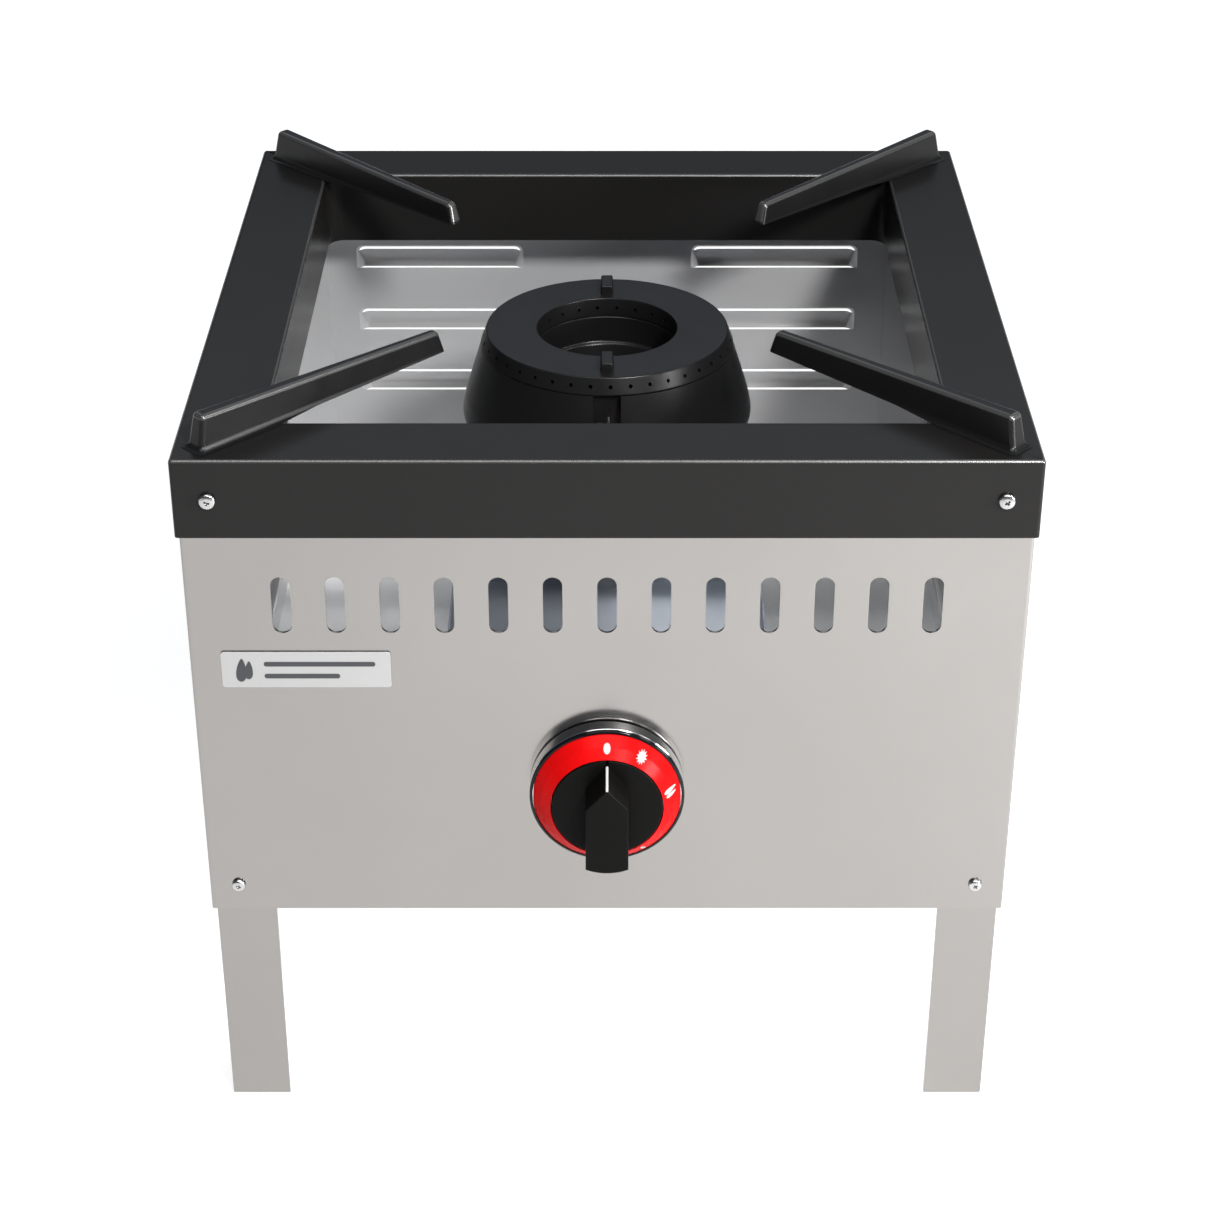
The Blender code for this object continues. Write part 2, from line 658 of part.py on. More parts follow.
def build_tap(stove):
    """Tap body with its stubs: gas in on the right, burner up, pilot on the left."""
    body = stove.piece("gas_tap_body", block(-16, 16, -186, -150, KNOB_Z - 15, KNOB_Z + 15),
                       "brass")
    stove.fuse(body, rod((0, -195.9, KNOB_Z), (0, -184, KNOB_Z), 10, 24))
    stove.fuse(body, rod((15, -168, KNOB_Z), (24, -168, KNOB_Z), 7),
               rod((-15, -168, KNOB_Z), (-24, -168, KNOB_Z), 3.5),
               rod((PIPE_X, PIPE_Y, KNOB_Z + 14), (PIPE_X, PIPE_Y, KNOB_Z + 25), 5))
    stove.cut(body, rod((0, -198, KNOB_Z), (0, -154, KNOB_Z), 4.5, 24))
    shelf_z = KNOB_Z - 15 - GAP
    profile = [(-196.2, 150), (-194.7, 150), (-194.7, shelf_z - SHEET), (-150, shelf_z - SHEET),
               (-150, shelf_z), (-196.2, shelf_z)]
    stove.piece("tap_bracket", prism(profile, "x", -18, 18), "galvanised")
    magnet = [(0, 0), (7, 0), (7, 12), (5, 13), (5, 24), (0, 24)]
    stove.piece("flame_safety_magnet", turned(magnet, (0, -150 + GAP, KNOB_Z), (0, 1, 0), 24),
                "brass")


def build_push_rod(stove, axis):
    """Rod that slides when the knob is pushed in, and the spring round it."""
    stove.piece("tap_push_rod", rod((0, -175.7, KNOB_Z), (0, -160, KNOB_Z), 2.5), "brass", axis)
    coils, length, start, points = 4, 13.0, -171.3, 10
    turns = []
    for i in range(points * coils + 1):
        angle = 2 * math.pi * i / points
        turns.append((3.5 * math.cos(angle), start + length * i / (points * coils),
                      KNOB_Z + 3.5 * math.sin(angle)))
    stove.pipe("tap_return_spring", turns, 0.4, "spring_steel", per_span=1)


def build_supply(stove):
    """Pipe from the tap to the injector, its nuts, the holder and its bracket."""
    stub_top = KNOB_Z + 25 + GAP
    holder_z = TUBE_Z - 8
    stove.piece("supply_pipe", rod((PIPE_X, PIPE_Y, stub_top), (PIPE_X, PIPE_Y, holder_z - GAP), 4),
                "copper")
    up = (0, 0, 1)
    stove.piece("supply_nut_lower", hex_nut(14, 4.4, (PIPE_X, PIPE_Y, stub_top), up, 9), "brass")
    stove.piece("supply_nut_upper",
                hex_nut(14, 4.4, (PIPE_X, PIPE_Y, holder_z - GAP - 9), up, 9), "brass")
    holder = block(-19, 9, -165, -151, holder_z, TUBE_Z + 8)
    stove.piece("injector_holder", holder, "galvanised")
    nozzle = [(0, 0), (5.5, 0), (5.5, 5), (4, 6), (4, 12), (1.6, 14.5), (0, 14.5)]
    stove.piece("injector", turned(nozzle, (0, -151 + GAP, TUBE_Z), (0, 1, 0), 12), "brass")
    fold, top = -165 - GAP, 331.0
    profile = [(fold, 294), (fold, top), (-196.2, top), (-196.2, 316), (-194.7, 316),
               (-194.7, top - SHEET), (fold - SHEET, top - SHEET), (fold - SHEET, 294)]
    stove.piece("injector_bracket", prism(profile, "x", -18, 8), "galvanised")


def build_air_shutter(stove, axis):
    """Sleeve that slides forward over the air gap, with its clamp screw."""
    rear, front = -122.0, -136.0
    sleeve = [(15.4, 0), (17.2, 0), (17.2, rear - front), (15.4, rear - front)]
    stove.piece("air_shutter", turned(sleeve, (0, front, TUBE_Z), (0, 1, 0), 32),
                "galvanised", axis)
    foot = (0, (rear + front) / 2, TUBE_Z + 17.2 + GAP)
    stove.piece("air_shutter_screw",
                turned([(0, 0), (1.5, 0), (1.5, 3), (3.2, 3), (3.2, 6), (0, 6)], foot, steps=12),
                "zinc_screw", axis)


def build_pilot(stove):
    """Pilot burner and thermocouple in the burner's notch, with their bracket and lines."""
    bracket = [(-96, 310.4), (-82, 310.4), (-82, 315), (-64, 315), (-64, 316.2),
               (-83.2, 316.2), (-83.2, 311.6), (-96, 311.6)]
    stove.piece("pilot_bracket", prism(bracket, "x", -6.4, 6.4), "galvanised")
    seat = 316.2 + GAP
    pilot = [(0, 0), (2.4, 0), (2.4, 8), (1.9, 9), (1.9, 11.5), (0, 11.5)]
    stove.piece("pilot_burner", turned(pilot, (-3.6, -70.5, seat), steps=12), "brass")
    probe = [(0, 0), (1.4, 0), (1.4, 7.5), (0.7, 8.5), (0.7, 15.3), (0, 15.7)]
    stove.piece("thermocouple", turned(probe, (0.9, -70.5, seat), steps=12), "spring_steel")
    stove.pipe("pilot_tube", [
        (-24.3, -168, 195), (-32, -166, 196), (-39.5, -158, 206), (-39.9, -151, 230),
        (-39.9, -149, 265), (-36, -140, 290), (-28, -120, 302), (-19, -104, 309),
        (-8, -92, 317.5), (-3.6, -82, 319.5), (-3.6, -73.3, 319.5)], 1.5, "copper")
    stove.pipe("thermocouple_lead", [
        (0, -125.3, 195), (2, -117, 197), (8, -110, 206), (13.4, -105, 222),
        (13.9, -101, 245), (19, -98, 268), (22, -96, 292), (19, -92, 309),
        (9, -86, 318), (0.9, -79, 319.2), (0.9, -72.2, 319.2)], 1.1, "copper")


def build_inlet(stove):
    """Threaded inlet under the cabinet, its locknut and the pipe forward to the tap."""
    base = TRAY_FLOOR_Z - 31
    nipple = [(0, 0), (9.6, 0), (10.4, 1), (10.4, 36), (0, 36)]
    stove.piece("inlet_nipple", turned(nipple, (INLET_X, INLET_Y, base), steps=24), "brass")
    stove.piece("inlet_locknut", hex_nut(27, 10.9, (INLET_X, INLET_Y, TRAY_FLOOR_Z - 8), (0, 0, 1),
                                         7.5), "brass")
    stove.pipe("inlet_pipe", [
        (110, 10, 132.4), (110, 9, 141), (110, 1, 149), (110, -20, 151), (110, -70, 151),
        (110, -125, 152), (107, -148, 157), (98, -162, 168), (82, -168, 182),
        (62, -168, 192), (42, -168, 195), (24.4, -168, 195)], 6, "copper")


# ---------------------------------------------------------------- knob and dial

def knob_turned(profile, steps=48):
    """Turned about the tap's axis. Heights are distances in front of the frame's middle."""
    return turned(profile, (0, 0, KNOB_Z), (0, -1, 0), steps)


def grip_loop(y, half_width, shoulder, apex):
    """Cross-section of the grip: round foot, straight sides and a pointed prow."""
    radius = KNOB_DISC_RADIUS - 0.3
    swing = math.asin(half_width / radius)
    foot = [(radius * math.sin(swing * k / 4), -radius * math.cos(swing * k / 4))
            for k in range(-4, 5)]
    outline = foot + [(half_width, shoulder), (0, apex), (-half_width, shoulder)]
    return [(x, y, KNOB_Z + z) for x, z in outline]


def prow_strip(inner, outer):
    """Side view of a strip along the prow, between two depths below its edge."""
    back, front = -217.0, -KNOB_FACE
    edge = {back: 24.9, front: 21.5}
    return [(back, KNOB_Z + edge[back] - inner), (front - 1, KNOB_Z + edge[front] - inner),
            (front - 1, KNOB_Z + edge[front] - outer), (back, KNOB_Z + edge[back] - outer)]


def build_knob(stove, axis):
    profile = [(0, 204), (9, 204), (9, 211.5), (KNOB_DISC_RADIUS, 211.5),
               (KNOB_DISC_RADIUS, 218.2), (KNOB_DISC_RADIUS - 0.5, 218.5), (0, 218.5)]
    knob = stove.piece("knob_grip", knob_turned(profile), "knob_black", axis)
    grip = skin([grip_loop(-217, 10.5, 12.0, 25.2), grip_loop(-KNOB_FACE, 10.1, 11.0, 21.5)])
    stove.fuse(knob, grip)
    stove.cut(knob, rod((0, -203, KNOB_Z), (0, -224, KNOB_Z), 4.3, 24))
    stove.cut(knob, prism(prow_strip(1.4, -3), "x", -0.95, 0.95))
    stove.piece("knob_pointer", skin([
        [(x, y, KNOB_Z + z) for x, z in ((-0.6, low), (0.6, low), (0.6, high), (-0.6, high))]
        for y, low, high in ((-219.2, 23.6, 24.8), (-235.3, 20.7, 21.6))]), "label_white", axis)
    spindle = stove.piece("tap_spindle", rod((0, -223, KNOB_Z), (0, -176, KNOB_Z), 4, 24),
                          "brass", axis)
    stove.cut(spindle, block(2.6, 6, -224, -206, KNOB_Z - 6, KNOB_Z + 6))


def build_dial(stove):
    """Chrome trim, gloss rim and red scale, all fixed to the front panel."""
    stove.piece("dial_trim", knob_turned([(12.5, 198.3), (34, 198.3), (34, 199.1), (37.6, 199.1),
                                          (37.6, 206.6), (12.5, 206.6)]), "chrome")
    stove.piece("dial_bezel", knob_turned([(36.1, 206.9), (37.6, 206.9), (37.6, 207.5),
                                           (37.1, 208.3), (36.1, 208.6)]), "bezel_black")
    stove.piece("dial_scale", knob_turned([(27.3, 206.9), (35.8, 206.9), (35.8, 208.4),
                                           (31.9, 213.6), (27.3, 218.3)]), "dial_red")


def main():
    stove = Stove()
    build_frame(stove)
    build_pan_supports(stove)
    build_front_panel(stove)
    build_rear_panel(stove)
    build_side_panels(stove)
    build_legs(stove)
    build_base_tray(stove)
    build_heat_shield(stove)
    build_name_plate(stove)
    build_screws(stove)
    build_burner_body(stove)
    build_burner_cap(stove, stove.axis("cap_lift_axis", (0, 0, CAP_TOP)))
    build_crossbars(stove)
    build_tap(stove)
    build_push_rod(stove, stove.axis("push_axis", (0, -175.7, KNOB_Z)))
    build_supply(stove)
    build_air_shutter(stove, stove.axis("shutter_axis", (0, -129, TUBE_Z)))
    build_pilot(stove)
    build_inlet(stove)
    build_knob(stove, stove.axis("knob_axis", (0, -KNOB_FACE, KNOB_Z)))
    build_dial(stove)


main()
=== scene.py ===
"""Finished look of the single-burner gas stockpot stove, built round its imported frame.

Sizes are in millimetres round the middle of the black top frame, with the floor at height 0,
and become metres as each piece is placed.
"""
import json
import math

import bmesh
import bpy
from mathutils import Matrix, Vector


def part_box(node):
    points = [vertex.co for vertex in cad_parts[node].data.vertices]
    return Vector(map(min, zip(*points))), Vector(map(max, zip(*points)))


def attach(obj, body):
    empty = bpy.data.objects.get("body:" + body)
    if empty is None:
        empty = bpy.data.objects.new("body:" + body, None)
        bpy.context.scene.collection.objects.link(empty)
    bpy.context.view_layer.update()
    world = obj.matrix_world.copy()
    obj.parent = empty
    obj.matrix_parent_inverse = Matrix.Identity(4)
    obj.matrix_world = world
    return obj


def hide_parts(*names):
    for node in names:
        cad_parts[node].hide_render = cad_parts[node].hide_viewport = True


MM = 0.001
FULL_TURN = 2 * math.pi

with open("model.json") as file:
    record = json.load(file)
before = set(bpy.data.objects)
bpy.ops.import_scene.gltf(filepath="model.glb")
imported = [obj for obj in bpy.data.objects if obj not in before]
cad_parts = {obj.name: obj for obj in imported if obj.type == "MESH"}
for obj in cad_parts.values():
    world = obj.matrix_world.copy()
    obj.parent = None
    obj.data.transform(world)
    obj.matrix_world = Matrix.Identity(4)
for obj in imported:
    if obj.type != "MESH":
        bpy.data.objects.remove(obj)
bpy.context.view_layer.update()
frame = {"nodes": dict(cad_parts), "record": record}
frame_low, frame_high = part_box("top_frame")
MIDDLE = Vector(((frame_low.x + frame_high.x) / 2, (frame_low.y + frame_high.y) / 2, 0))


def corners_of(node):
    """A solid's low and high corner, in millimetres round the middle of the top frame."""
    return [[round(value, 2) for value in (corner - MIDDLE) / MM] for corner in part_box(node)]


def centre_and_radius(node):
    """Where a turned solid stands across the stove and in height, and its radius."""
    (x0, _, z0), (x1, _, z1) = corners_of(node)
    return ((x0 + x1) / 2, (z0 + z1) / 2), round((x1 - x0) / 2, 2)


(_, _, FRAME_FOOT), (FRAME_HALF, _, FRAME_TOP) = corners_of("top_frame")
(_, front, PANEL_FOOT), (PANEL_HALF, back, PANEL_TOP) = corners_of("front_panel")
PANEL_FACE, FOLD_END = -front, -back
LOUVRE_FACE = corners_of("rear_panel")[1][1]
FRAME_SCREW, FRAME_SCREW_RADIUS = centre_and_radius("frame_screw_front_right")
PANEL_SCREW, PANEL_SCREW_RADIUS = centre_and_radius("panel_screw_front_right")
KNOB_Z = centre_and_radius("dial_trim")[0][1]

GAP = 0.3                       # between pieces that touch
SHEET = 1.5                     # thickness of the frame's and the panels' steel
MOUTH_HALF = 160.0              # half the width of the frame's opening
PAST = 9.0                      # how far a cutter runs past the frame
DRILL_IN, DRILL_OUT = 190, 204  # a panel's drills run between these depths
SCREW_HOLE = 2.4
TUBE_Z = 295                    # height of the burner's mixing tube


def at(x, y, z):
    """A point of the stove, from millimetres round the frame's middle."""
    return MIDDLE + Vector((x, y, z)) * MM


# ------------------------------------------------------------------ shared shading groups

def new_group(name, inputs, outputs):
    group = bpy.data.node_groups.new(name, "ShaderNodeTree")
    for label, kind, value in inputs:
        socket = group.interface.new_socket(label, in_out="INPUT", socket_type=kind)
        if value is not None:
            socket.default_value = value
    for label, kind in outputs:
        group.interface.new_socket(label, in_out="OUTPUT", socket_type=kind)
    return group, group.nodes.new("NodeGroupInput"), group.nodes.new("NodeGroupOutput")


def join(tree, source, target):
    tree.links.new(source, target)


def ranged(tree, value, low, high):
    """Spreads a 0..1 value between two sockets."""
    node = tree.nodes.new("ShaderNodeMapRange")
    join(tree, value, node.inputs["Value"])
    join(tree, low, node.inputs["To Min"])
    join(tree, high, node.inputs["To Max"])
    return node.outputs["Result"]


def make_mottle_group():
    """Soft cloudy change over a surface, between a low and a high value."""
    group, start, end = new_group("soft_mottle", [
        ("Vector", "NodeSocketVector", None), ("Scale", "NodeSocketFloat", 20.0),
        ("Low", "NodeSocketFloat", 0.0), ("High", "NodeSocketFloat", 1.0)],
        [("Value", "NodeSocketFloat")])
    noise = group.nodes.new("ShaderNodeTexNoise")
    noise.inputs["Detail"].default_value = 4.0
    join(group, start.outputs["Vector"], noise.inputs["Vector"])
    join(group, start.outputs["Scale"], noise.inputs["Scale"])
    sharpen = group.nodes.new("ShaderNodeMapRange")
    sharpen.inputs["From Min"].default_value = 0.3
    sharpen.inputs["From Max"].default_value = 0.7
    join(group, noise.outputs["Fac"], sharpen.inputs["Value"])
    join(group, start.outputs["Low"], sharpen.inputs["To Min"])
    join(group, start.outputs["High"], sharpen.inputs["To Max"])
    join(group, sharpen.outputs["Result"], end.inputs["Value"])
    return group


def make_grain_group():
    """Fine drawn lines: noise stretched along one direction by the stretch vector."""
    group, start, end = new_group("drawn_grain", [
        ("Vector", "NodeSocketVector", None), ("Stretch", "NodeSocketVector", (4.0, 4.0, 900.0)),
        ("Low", "NodeSocketFloat", 0.0), ("High", "NodeSocketFloat", 1.0)],
        [("Value", "NodeSocketFloat")])
    scale = group.nodes.new("ShaderNodeVectorMath")
    scale.operation = "MULTIPLY"
    join(group, start.outputs["Vector"], scale.inputs[0])
    join(group, start.outputs["Stretch"], scale.inputs[1])
    noise = group.nodes.new("ShaderNodeTexNoise")
    noise.inputs["Scale"].default_value = 1.0
    noise.inputs["Detail"].default_value = 5.0
    noise.inputs["Roughness"].default_value = 0.65
    join(group, scale.outputs["Vector"], noise.inputs["Vector"])
    join(group, ranged(group, noise.outputs["Fac"], start.outputs["Low"], start.outputs["High"]),
         end.inputs["Value"])
    return group


def make_pitting_group():
    """Small rounded pits and bumps of a sand casting or an orange-peel coat."""
    group, start, end = new_group("fine_pitting", [
        ("Vector", "NodeSocketVector", None), ("Scale", "NodeSocketFloat", 900.0)],
        [("Height", "NodeSocketFloat")])
    cells = group.nodes.new("ShaderNodeTexVoronoi")
    cells.feature = "SMOOTH_F1"
    noise = group.nodes.new("ShaderNodeTexNoise")
    noise.inputs["Detail"].default_value = 3.0
    total = group.nodes.new("ShaderNodeMath")
    total.operation = "ADD"
    for node in (cells, noise):
        join(group, start.outputs["Vector"], node.inputs["Vector"])
        join(group, start.outputs["Scale"], node.inputs["Scale"])
    join(group, cells.outputs["Distance"], total.inputs[0])
    join(group, noise.outputs["Fac"], total.inputs[1])
    join(group, total.outputs["Value"], end.inputs["Height"])
    return group


MOTTLE = make_mottle_group()
GRAIN = make_grain_group()
PITTING = make_pitting_group()


# ------------------------------------------------------------------ materials

class Finish:
    """A material with one Principled shader, to which surface effects are added."""

    def __init__(self, name, metallic=0.0, **plain):
        self.material = bpy.data.materials.new(name)
        self.material.use_nodes = True
        self.tree = self.material.node_tree
        self.shader = self.tree.nodes["Principled BSDF"]
        self.shader.inputs["Metallic"].default_value = metallic
        for socket, value in plain.items():
            self.shader.inputs[socket.replace("_", " ")].default_value = value
        self.place = self.tree.nodes.new("ShaderNodeTexCoord").outputs["Object"]

    def effect(self, group, **settings):
        node = self.tree.nodes.new("ShaderNodeGroup")
        node.node_tree = group
        join(self.tree, self.place, node.inputs["Vector"])
        for socket, value in settings.items():
            node.inputs[socket].default_value = value
        return node.outputs[0]

    def colours(self, factor, first, second):
        mix = self.tree.nodes.new("ShaderNodeMix")
        mix.data_type = "RGBA"
        mix.inputs["A"].default_value = (*first, 1.0)
        mix.inputs["B"].default_value = (*second, 1.0)
        join(self.tree, factor, mix.inputs["Factor"])
        join(self.tree, mix.outputs["Result"], self.shader.inputs["Base Color"])
        return self

    def gloss(self, value):
        join(self.tree, value, self.shader.inputs["Roughness"])
        return self

    def relief(self, height, strength, distance):
        bump = self.tree.nodes.new("ShaderNodeBump")
        bump.inputs["Strength"].default_value = strength
        bump.inputs["Distance"].default_value = distance * MM
        join(self.tree, height, bump.inputs["Height"])
        join(self.tree, bump.outputs["Normal"], self.shader.inputs["Normal"])
        return self


def pitted_coat(name, dark, light, scale, relief, low, high, **plain):
    """Enamel or moulded surface: cloudy tone, uneven gloss and tiny pits."""
    finish = Finish(name, **plain)
    finish.colours(finish.effect(MOTTLE, Scale=14.0), dark, light)
    finish.gloss(finish.effect(MOTTLE, Scale=60.0, Low=low, High=high))
    return finish.relief(finish.effect(PITTING, Scale=scale), 0.35, relief).material


def drawn_metal(name, dark, light, stretch, low, high, relief=0.004, metallic=1.0):
    """Rolled, turned or brushed metal with a grain along one direction."""
    finish = Finish(name, metallic)
    finish.colours(finish.effect(MOTTLE, Scale=7.0), dark, light)
    finish.gloss(finish.effect(GRAIN, Stretch=stretch, Low=low, High=high))
    lines = finish.effect(GRAIN, Stretch=stretch)
    return finish.relief(lines, 0.25, relief).material


def make_materials():
    across, upright = (5.0, 5.0, 1400.0), (1400.0, 1400.0, 6.0)
    along_depth = (1400.0, 5.0, 1400.0)
    return {
        "black_enamel": pitted_coat("black_enamel", (0.0078, 0.0073, 0.0070),
                                    (0.0084, 0.0079, 0.0076), 1300.0, 0.008, 0.275, 0.295,
                                    Specular_IOR_Level=0.155),
        "cast_iron": pitted_coat("enamelled_iron", (0.0050, 0.0050, 0.0052),
                                 (0.0065, 0.0065, 0.0068), 900.0, 0.012, 0.28, 0.34,
                                 Specular_IOR_Level=0.22),
        # Glossier copy of the black enamel, painted lighter so that the rounded bends show a
        # painted highlight
        "enamel_bend_painted_highlight": pitted_coat("enamel_bend_painted_highlight", (0.030, 0.029, 0.028),
                                   (0.034, 0.033, 0.032), 1300.0, 0.008, 0.22, 0.27,
                                   Specular_IOR_Level=0.9),
        "stainless": drawn_metal("brushed_stainless", (0.282, 0.269, 0.257),
                                 (0.298, 0.285, 0.273), across, 0.17, 0.22),
        "leg_steel": drawn_metal("leg_steel", (0.272, 0.259, 0.247), (0.288, 0.275, 0.263),
                                 upright, 0.18, 0.24),
        "side_steel": drawn_metal("side_steel", (0.298, 0.284, 0.271), (0.314, 0.300, 0.287),
                                  along_depth, 0.17, 0.22, relief=0.0015),
        # Lighter, less metallic copy of the steel for faces inside the cabinet: painted light that
        # brightens the cabinet's inside
        "inner_steel_painted_light": drawn_metal("inner_steel_painted_light", (0.58, 0.58, 0.585), (0.62, 0.62, 0.625),
                                   across, 0.28, 0.34, metallic=0.45),
        "tray_steel": drawn_metal("tray_steel", (0.88, 0.885, 0.89), (0.91, 0.915, 0.92),
                                  across, 0.30, 0.40, metallic=0.12),
        "galvanised": drawn_metal("zinc_sheet", (0.45, 0.49, 0.55), (0.53, 0.57, 0.63),
                                  (60.0, 60.0, 60.0), 0.20, 0.30, metallic=0.7),
        "zinc_screw": drawn_metal("bright_zinc", (0.36, 0.36, 0.36), (0.48, 0.48, 0.48),
                                  (900.0, 900.0, 900.0), 0.16, 0.28),
        "label_white": pitted_coat("white_print", (0.37, 0.37, 0.37), (0.40, 0.40, 0.40),
                                   1500.0, 0.01, 0.35, 0.50, Specular_IOR_Level=0.1),
        "plate_face": drawn_metal("plate_face", (0.31, 0.31, 0.307), (0.34, 0.34, 0.337),
                                  across, 0.40, 0.50, metallic=0.2),
        "plate_print": pitted_coat("dark_print", (0.020, 0.022, 0.026), (0.028, 0.030, 0.034),
                                   1500.0, 0.008, 0.35, 0.5),
        "dial_red": pitted_coat("dial_red", (0.44, 0.0025, 0.0028), (0.48, 0.0030, 0.0034),
                                1600.0, 0.008, 0.24, 0.32, Specular_IOR_Level=0.04),
        "knob_black": pitted_coat("knob_black", (0.0024, 0.0022, 0.0020), (0.0032, 0.0030, 0.0027),
                                  1700.0, 0.012, 0.34, 0.44, Specular_IOR_Level=0.06),
        "bezel_black": pitted_coat("gloss_black", (0.002, 0.0022, 0.003), (0.003, 0.0035, 0.0045),
                                   60.0, 0.01, 0.05, 0.10, Specular_IOR_Level=0.2),
        "chrome": drawn_metal("polished_chrome", (0.72, 0.72, 0.73), (0.80, 0.80, 0.81),
                              (30.0, 30.0, 30.0), 0.05, 0.12, 0.001),
        "brass": drawn_metal("machined_brass", (0.56, 0.38, 0.14), (0.72, 0.52, 0.22),
                             (700.0, 60.0, 700.0), 0.22, 0.38),
        "copper": drawn_metal("bare_copper", (0.55, 0.24, 0.13), (0.72, 0.36, 0.22),
                              (90.0, 90.0, 90.0), 0.22, 0.42),
        "spring_steel": drawn_metal("spring_steel", (0.45, 0.45, 0.47), (0.58, 0.58, 0.60),
                                    (500.0, 500.0, 500.0), 0.18, 0.32),
    }


FINISHES = make_materials()


# ------------------------------------------------------------------ modelling by hand

def only(*objects):
    """Leave just these objects selected, in object mode, the first one active."""
    if bpy.context.mode != "OBJECT":
        bpy.ops.object.mode_set(mode="OBJECT")
    bpy.ops.object.select_all(action="DESELECT")
    for obj in objects:
        obj.select_set(True)
    bpy.context.view_layer.objects.active = objects[0]


def pick(obj, kind, wanted):
    """In edit mode, select the vertices, edges or faces whose middle passes the test."""
    only(obj)
    bpy.ops.object.mode_set(mode="EDIT")
    bpy.ops.mesh.select_mode(type=kind)
    bpy.ops.mesh.select_all(action="DESELECT")
    bm = bmesh.from_edit_mesh(obj.data)
    if kind == "VERT":
        for vert in bm.verts:
            vert.select = wanted(vert.co)
    elif kind == "EDGE":
        for edge in bm.edges:
            edge.select = wanted(edge)
    else:
        for face in bm.faces:
            face.select = wanted(face)
    bm.select_flush_mode()
    bmesh.update_edit_mesh(obj.data)


def extrude_to(step):
    bpy.ops.mesh.extrude_region_move(TRANSFORM_OT_translate={"value": step})


def round_edges(obj, radius, segments, wanted):
    """Bevel the edges that pass the test."""
    pick(obj, "EDGE", wanted)
    bpy.ops.mesh.bevel(offset=radius * MM, segments=segments, affect="EDGES")
    bpy.ops.object.mode_set(mode="OBJECT")


def cut_round(obj, point, direction):
    """Cut one loop of edges round the piece, where a plane through the point crosses it."""
    pick(obj, "FACE", lambda face: True)
    bpy.ops.mesh.bisect(plane_co=point, plane_no=direction)
    bpy.ops.object.mode_set(mode="OBJECT")


def stretch(obj, value, centre, wanted):
    """Scale the vertices that pass the test about a centre."""
    pick(obj, "VERT", wanted)
    bpy.ops.transform.resize(value=value, center_override=centre)
    bpy.ops.object.mode_set(mode="OBJECT")


def shift(obj, value, wanted):
    """Move the vertices that pass the test by millimetres."""
    pick(obj, "VERT", wanted)
    bpy.ops.transform.translate(value=Vector(value) * MM)
    bpy.ops.object.mode_set(mode="OBJECT")


def drawn_line(name, points, closed=False):
    """A vertex walked along the points, leaving an edge behind it."""
    if bpy.context.mode != "OBJECT":
        bpy.ops.object.mode_set(mode="OBJECT")
    bpy.ops.object.select_all(action="DESELECT")
    bpy.ops.mesh.primitive_plane_add(size=MM, location=(0, 0, 0))
    obj = bpy.context.object
    obj.name = obj.data.name = name
    bpy.ops.object.mode_set(mode="EDIT")
    bpy.ops.mesh.select_mode(type="VERT")
    bpy.ops.mesh.select_all(action="SELECT")
    bpy.ops.mesh.merge(type="CENTER")
    bpy.ops.transform.translate(value=points[0])
    for here, there in zip(points, points[1:]):
        extrude_to(there - here)
    if closed:
        extrude_to(points[0] - points[-1])
        bpy.ops.mesh.select_all(action="SELECT")
        bpy.ops.mesh.remove_doubles(threshold=1e-7)
    return obj


def tidy_normals():
    bpy.ops.mesh.select_all(action="SELECT")
    bpy.ops.mesh.remove_doubles(threshold=1e-7)
    bpy.ops.mesh.normals_make_consistent(inside=False)
    bpy.ops.object.mode_set(mode="OBJECT")


def eased(profile, radius, steps=4):
    """The profile with each inner corner turned into a small curve."""
    result = [profile[0]]
    for before, corner, after in zip(profile, profile[1:], profile[2:]):
        corner = Vector(corner)
        ends = []
        for other in (before, after):
            away = Vector(other) - corner
            ends.append(corner + away.normalized() * min(radius, away.length * 0.45))
        for step in range(steps + 1):
            t = step / steps
            result.append(tuple((1 - t) ** 2 * ends[0] + 2 * t * (1 - t) * corner
                                + t ** 2 * ends[1]))
    result.append(profile[-1])
    return result


def spun(name, profile, origin, axis, steps, closed=False):
    """Turned piece. The profile is (radius, height along the axis) in millimetres."""
    axis = Vector(axis)
    side = Vector((1, 0, 0)) if abs(axis.x) < 0.5 else Vector((0, 1, 0))
    points = [origin + (side * r + axis * h) * MM for r, h in profile]
    obj = drawn_line(name, points, closed)
    bpy.ops.mesh.select_all(action="SELECT")
    bpy.ops.mesh.spin(steps=steps, angle=FULL_TURN, center=origin, axis=axis)
    tidy_normals()
    return obj


def slab(name, points, sweep):
    """Flat outline filled and pulled out along the sweep."""
    obj = drawn_line(name, points, closed=True)
    bpy.ops.mesh.select_all(action="SELECT")
    bpy.ops.mesh.edge_face_add()
    extrude_to(sweep)
    tidy_normals()
    return obj


def use_modifier(obj, kind, **settings):
    modifier = obj.modifiers.new(kind.lower(), kind)
    for setting, value in settings.items():
        setattr(modifier, setting, value)
    only(obj)
    bpy.ops.object.modifier_apply(modifier=modifier.name)
    return obj


def combine(obj, tool, how):
    use_modifier(obj, "BOOLEAN", operation=how, solver="EXACT", object=tool)
    bpy.data.objects.remove(tool, do_unlink=True)
    return obj


def joined(objects):
    only(*objects)
    bpy.ops.object.join()
    return objects[0]


def duplicate(obj, name):
    other = obj.copy()
    other.data = obj.data.copy()
    other.name = other.data.name = name
    bpy.context.scene.collection.objects.link(other)
    return other


def settle(obj):
    only(obj)
    bpy.ops.object.transform_apply(location=True, rotation=True, scale=True)
    return obj


def turned_copy(obj, name, angle, centre=MIDDLE, axis="Z"):
    """A copy of the piece turned about an axis through the centre."""
    other = duplicate(obj, name)
    other.matrix_world = (Matrix.Translation(centre) @ Matrix.Rotation(angle, 4, axis)
                          @ Matrix.Translation(-centre))
    return settle(other)


def shifted_copy(obj, name, move):
    other = duplicate(obj, name)
    other.location = move
    return settle(other)


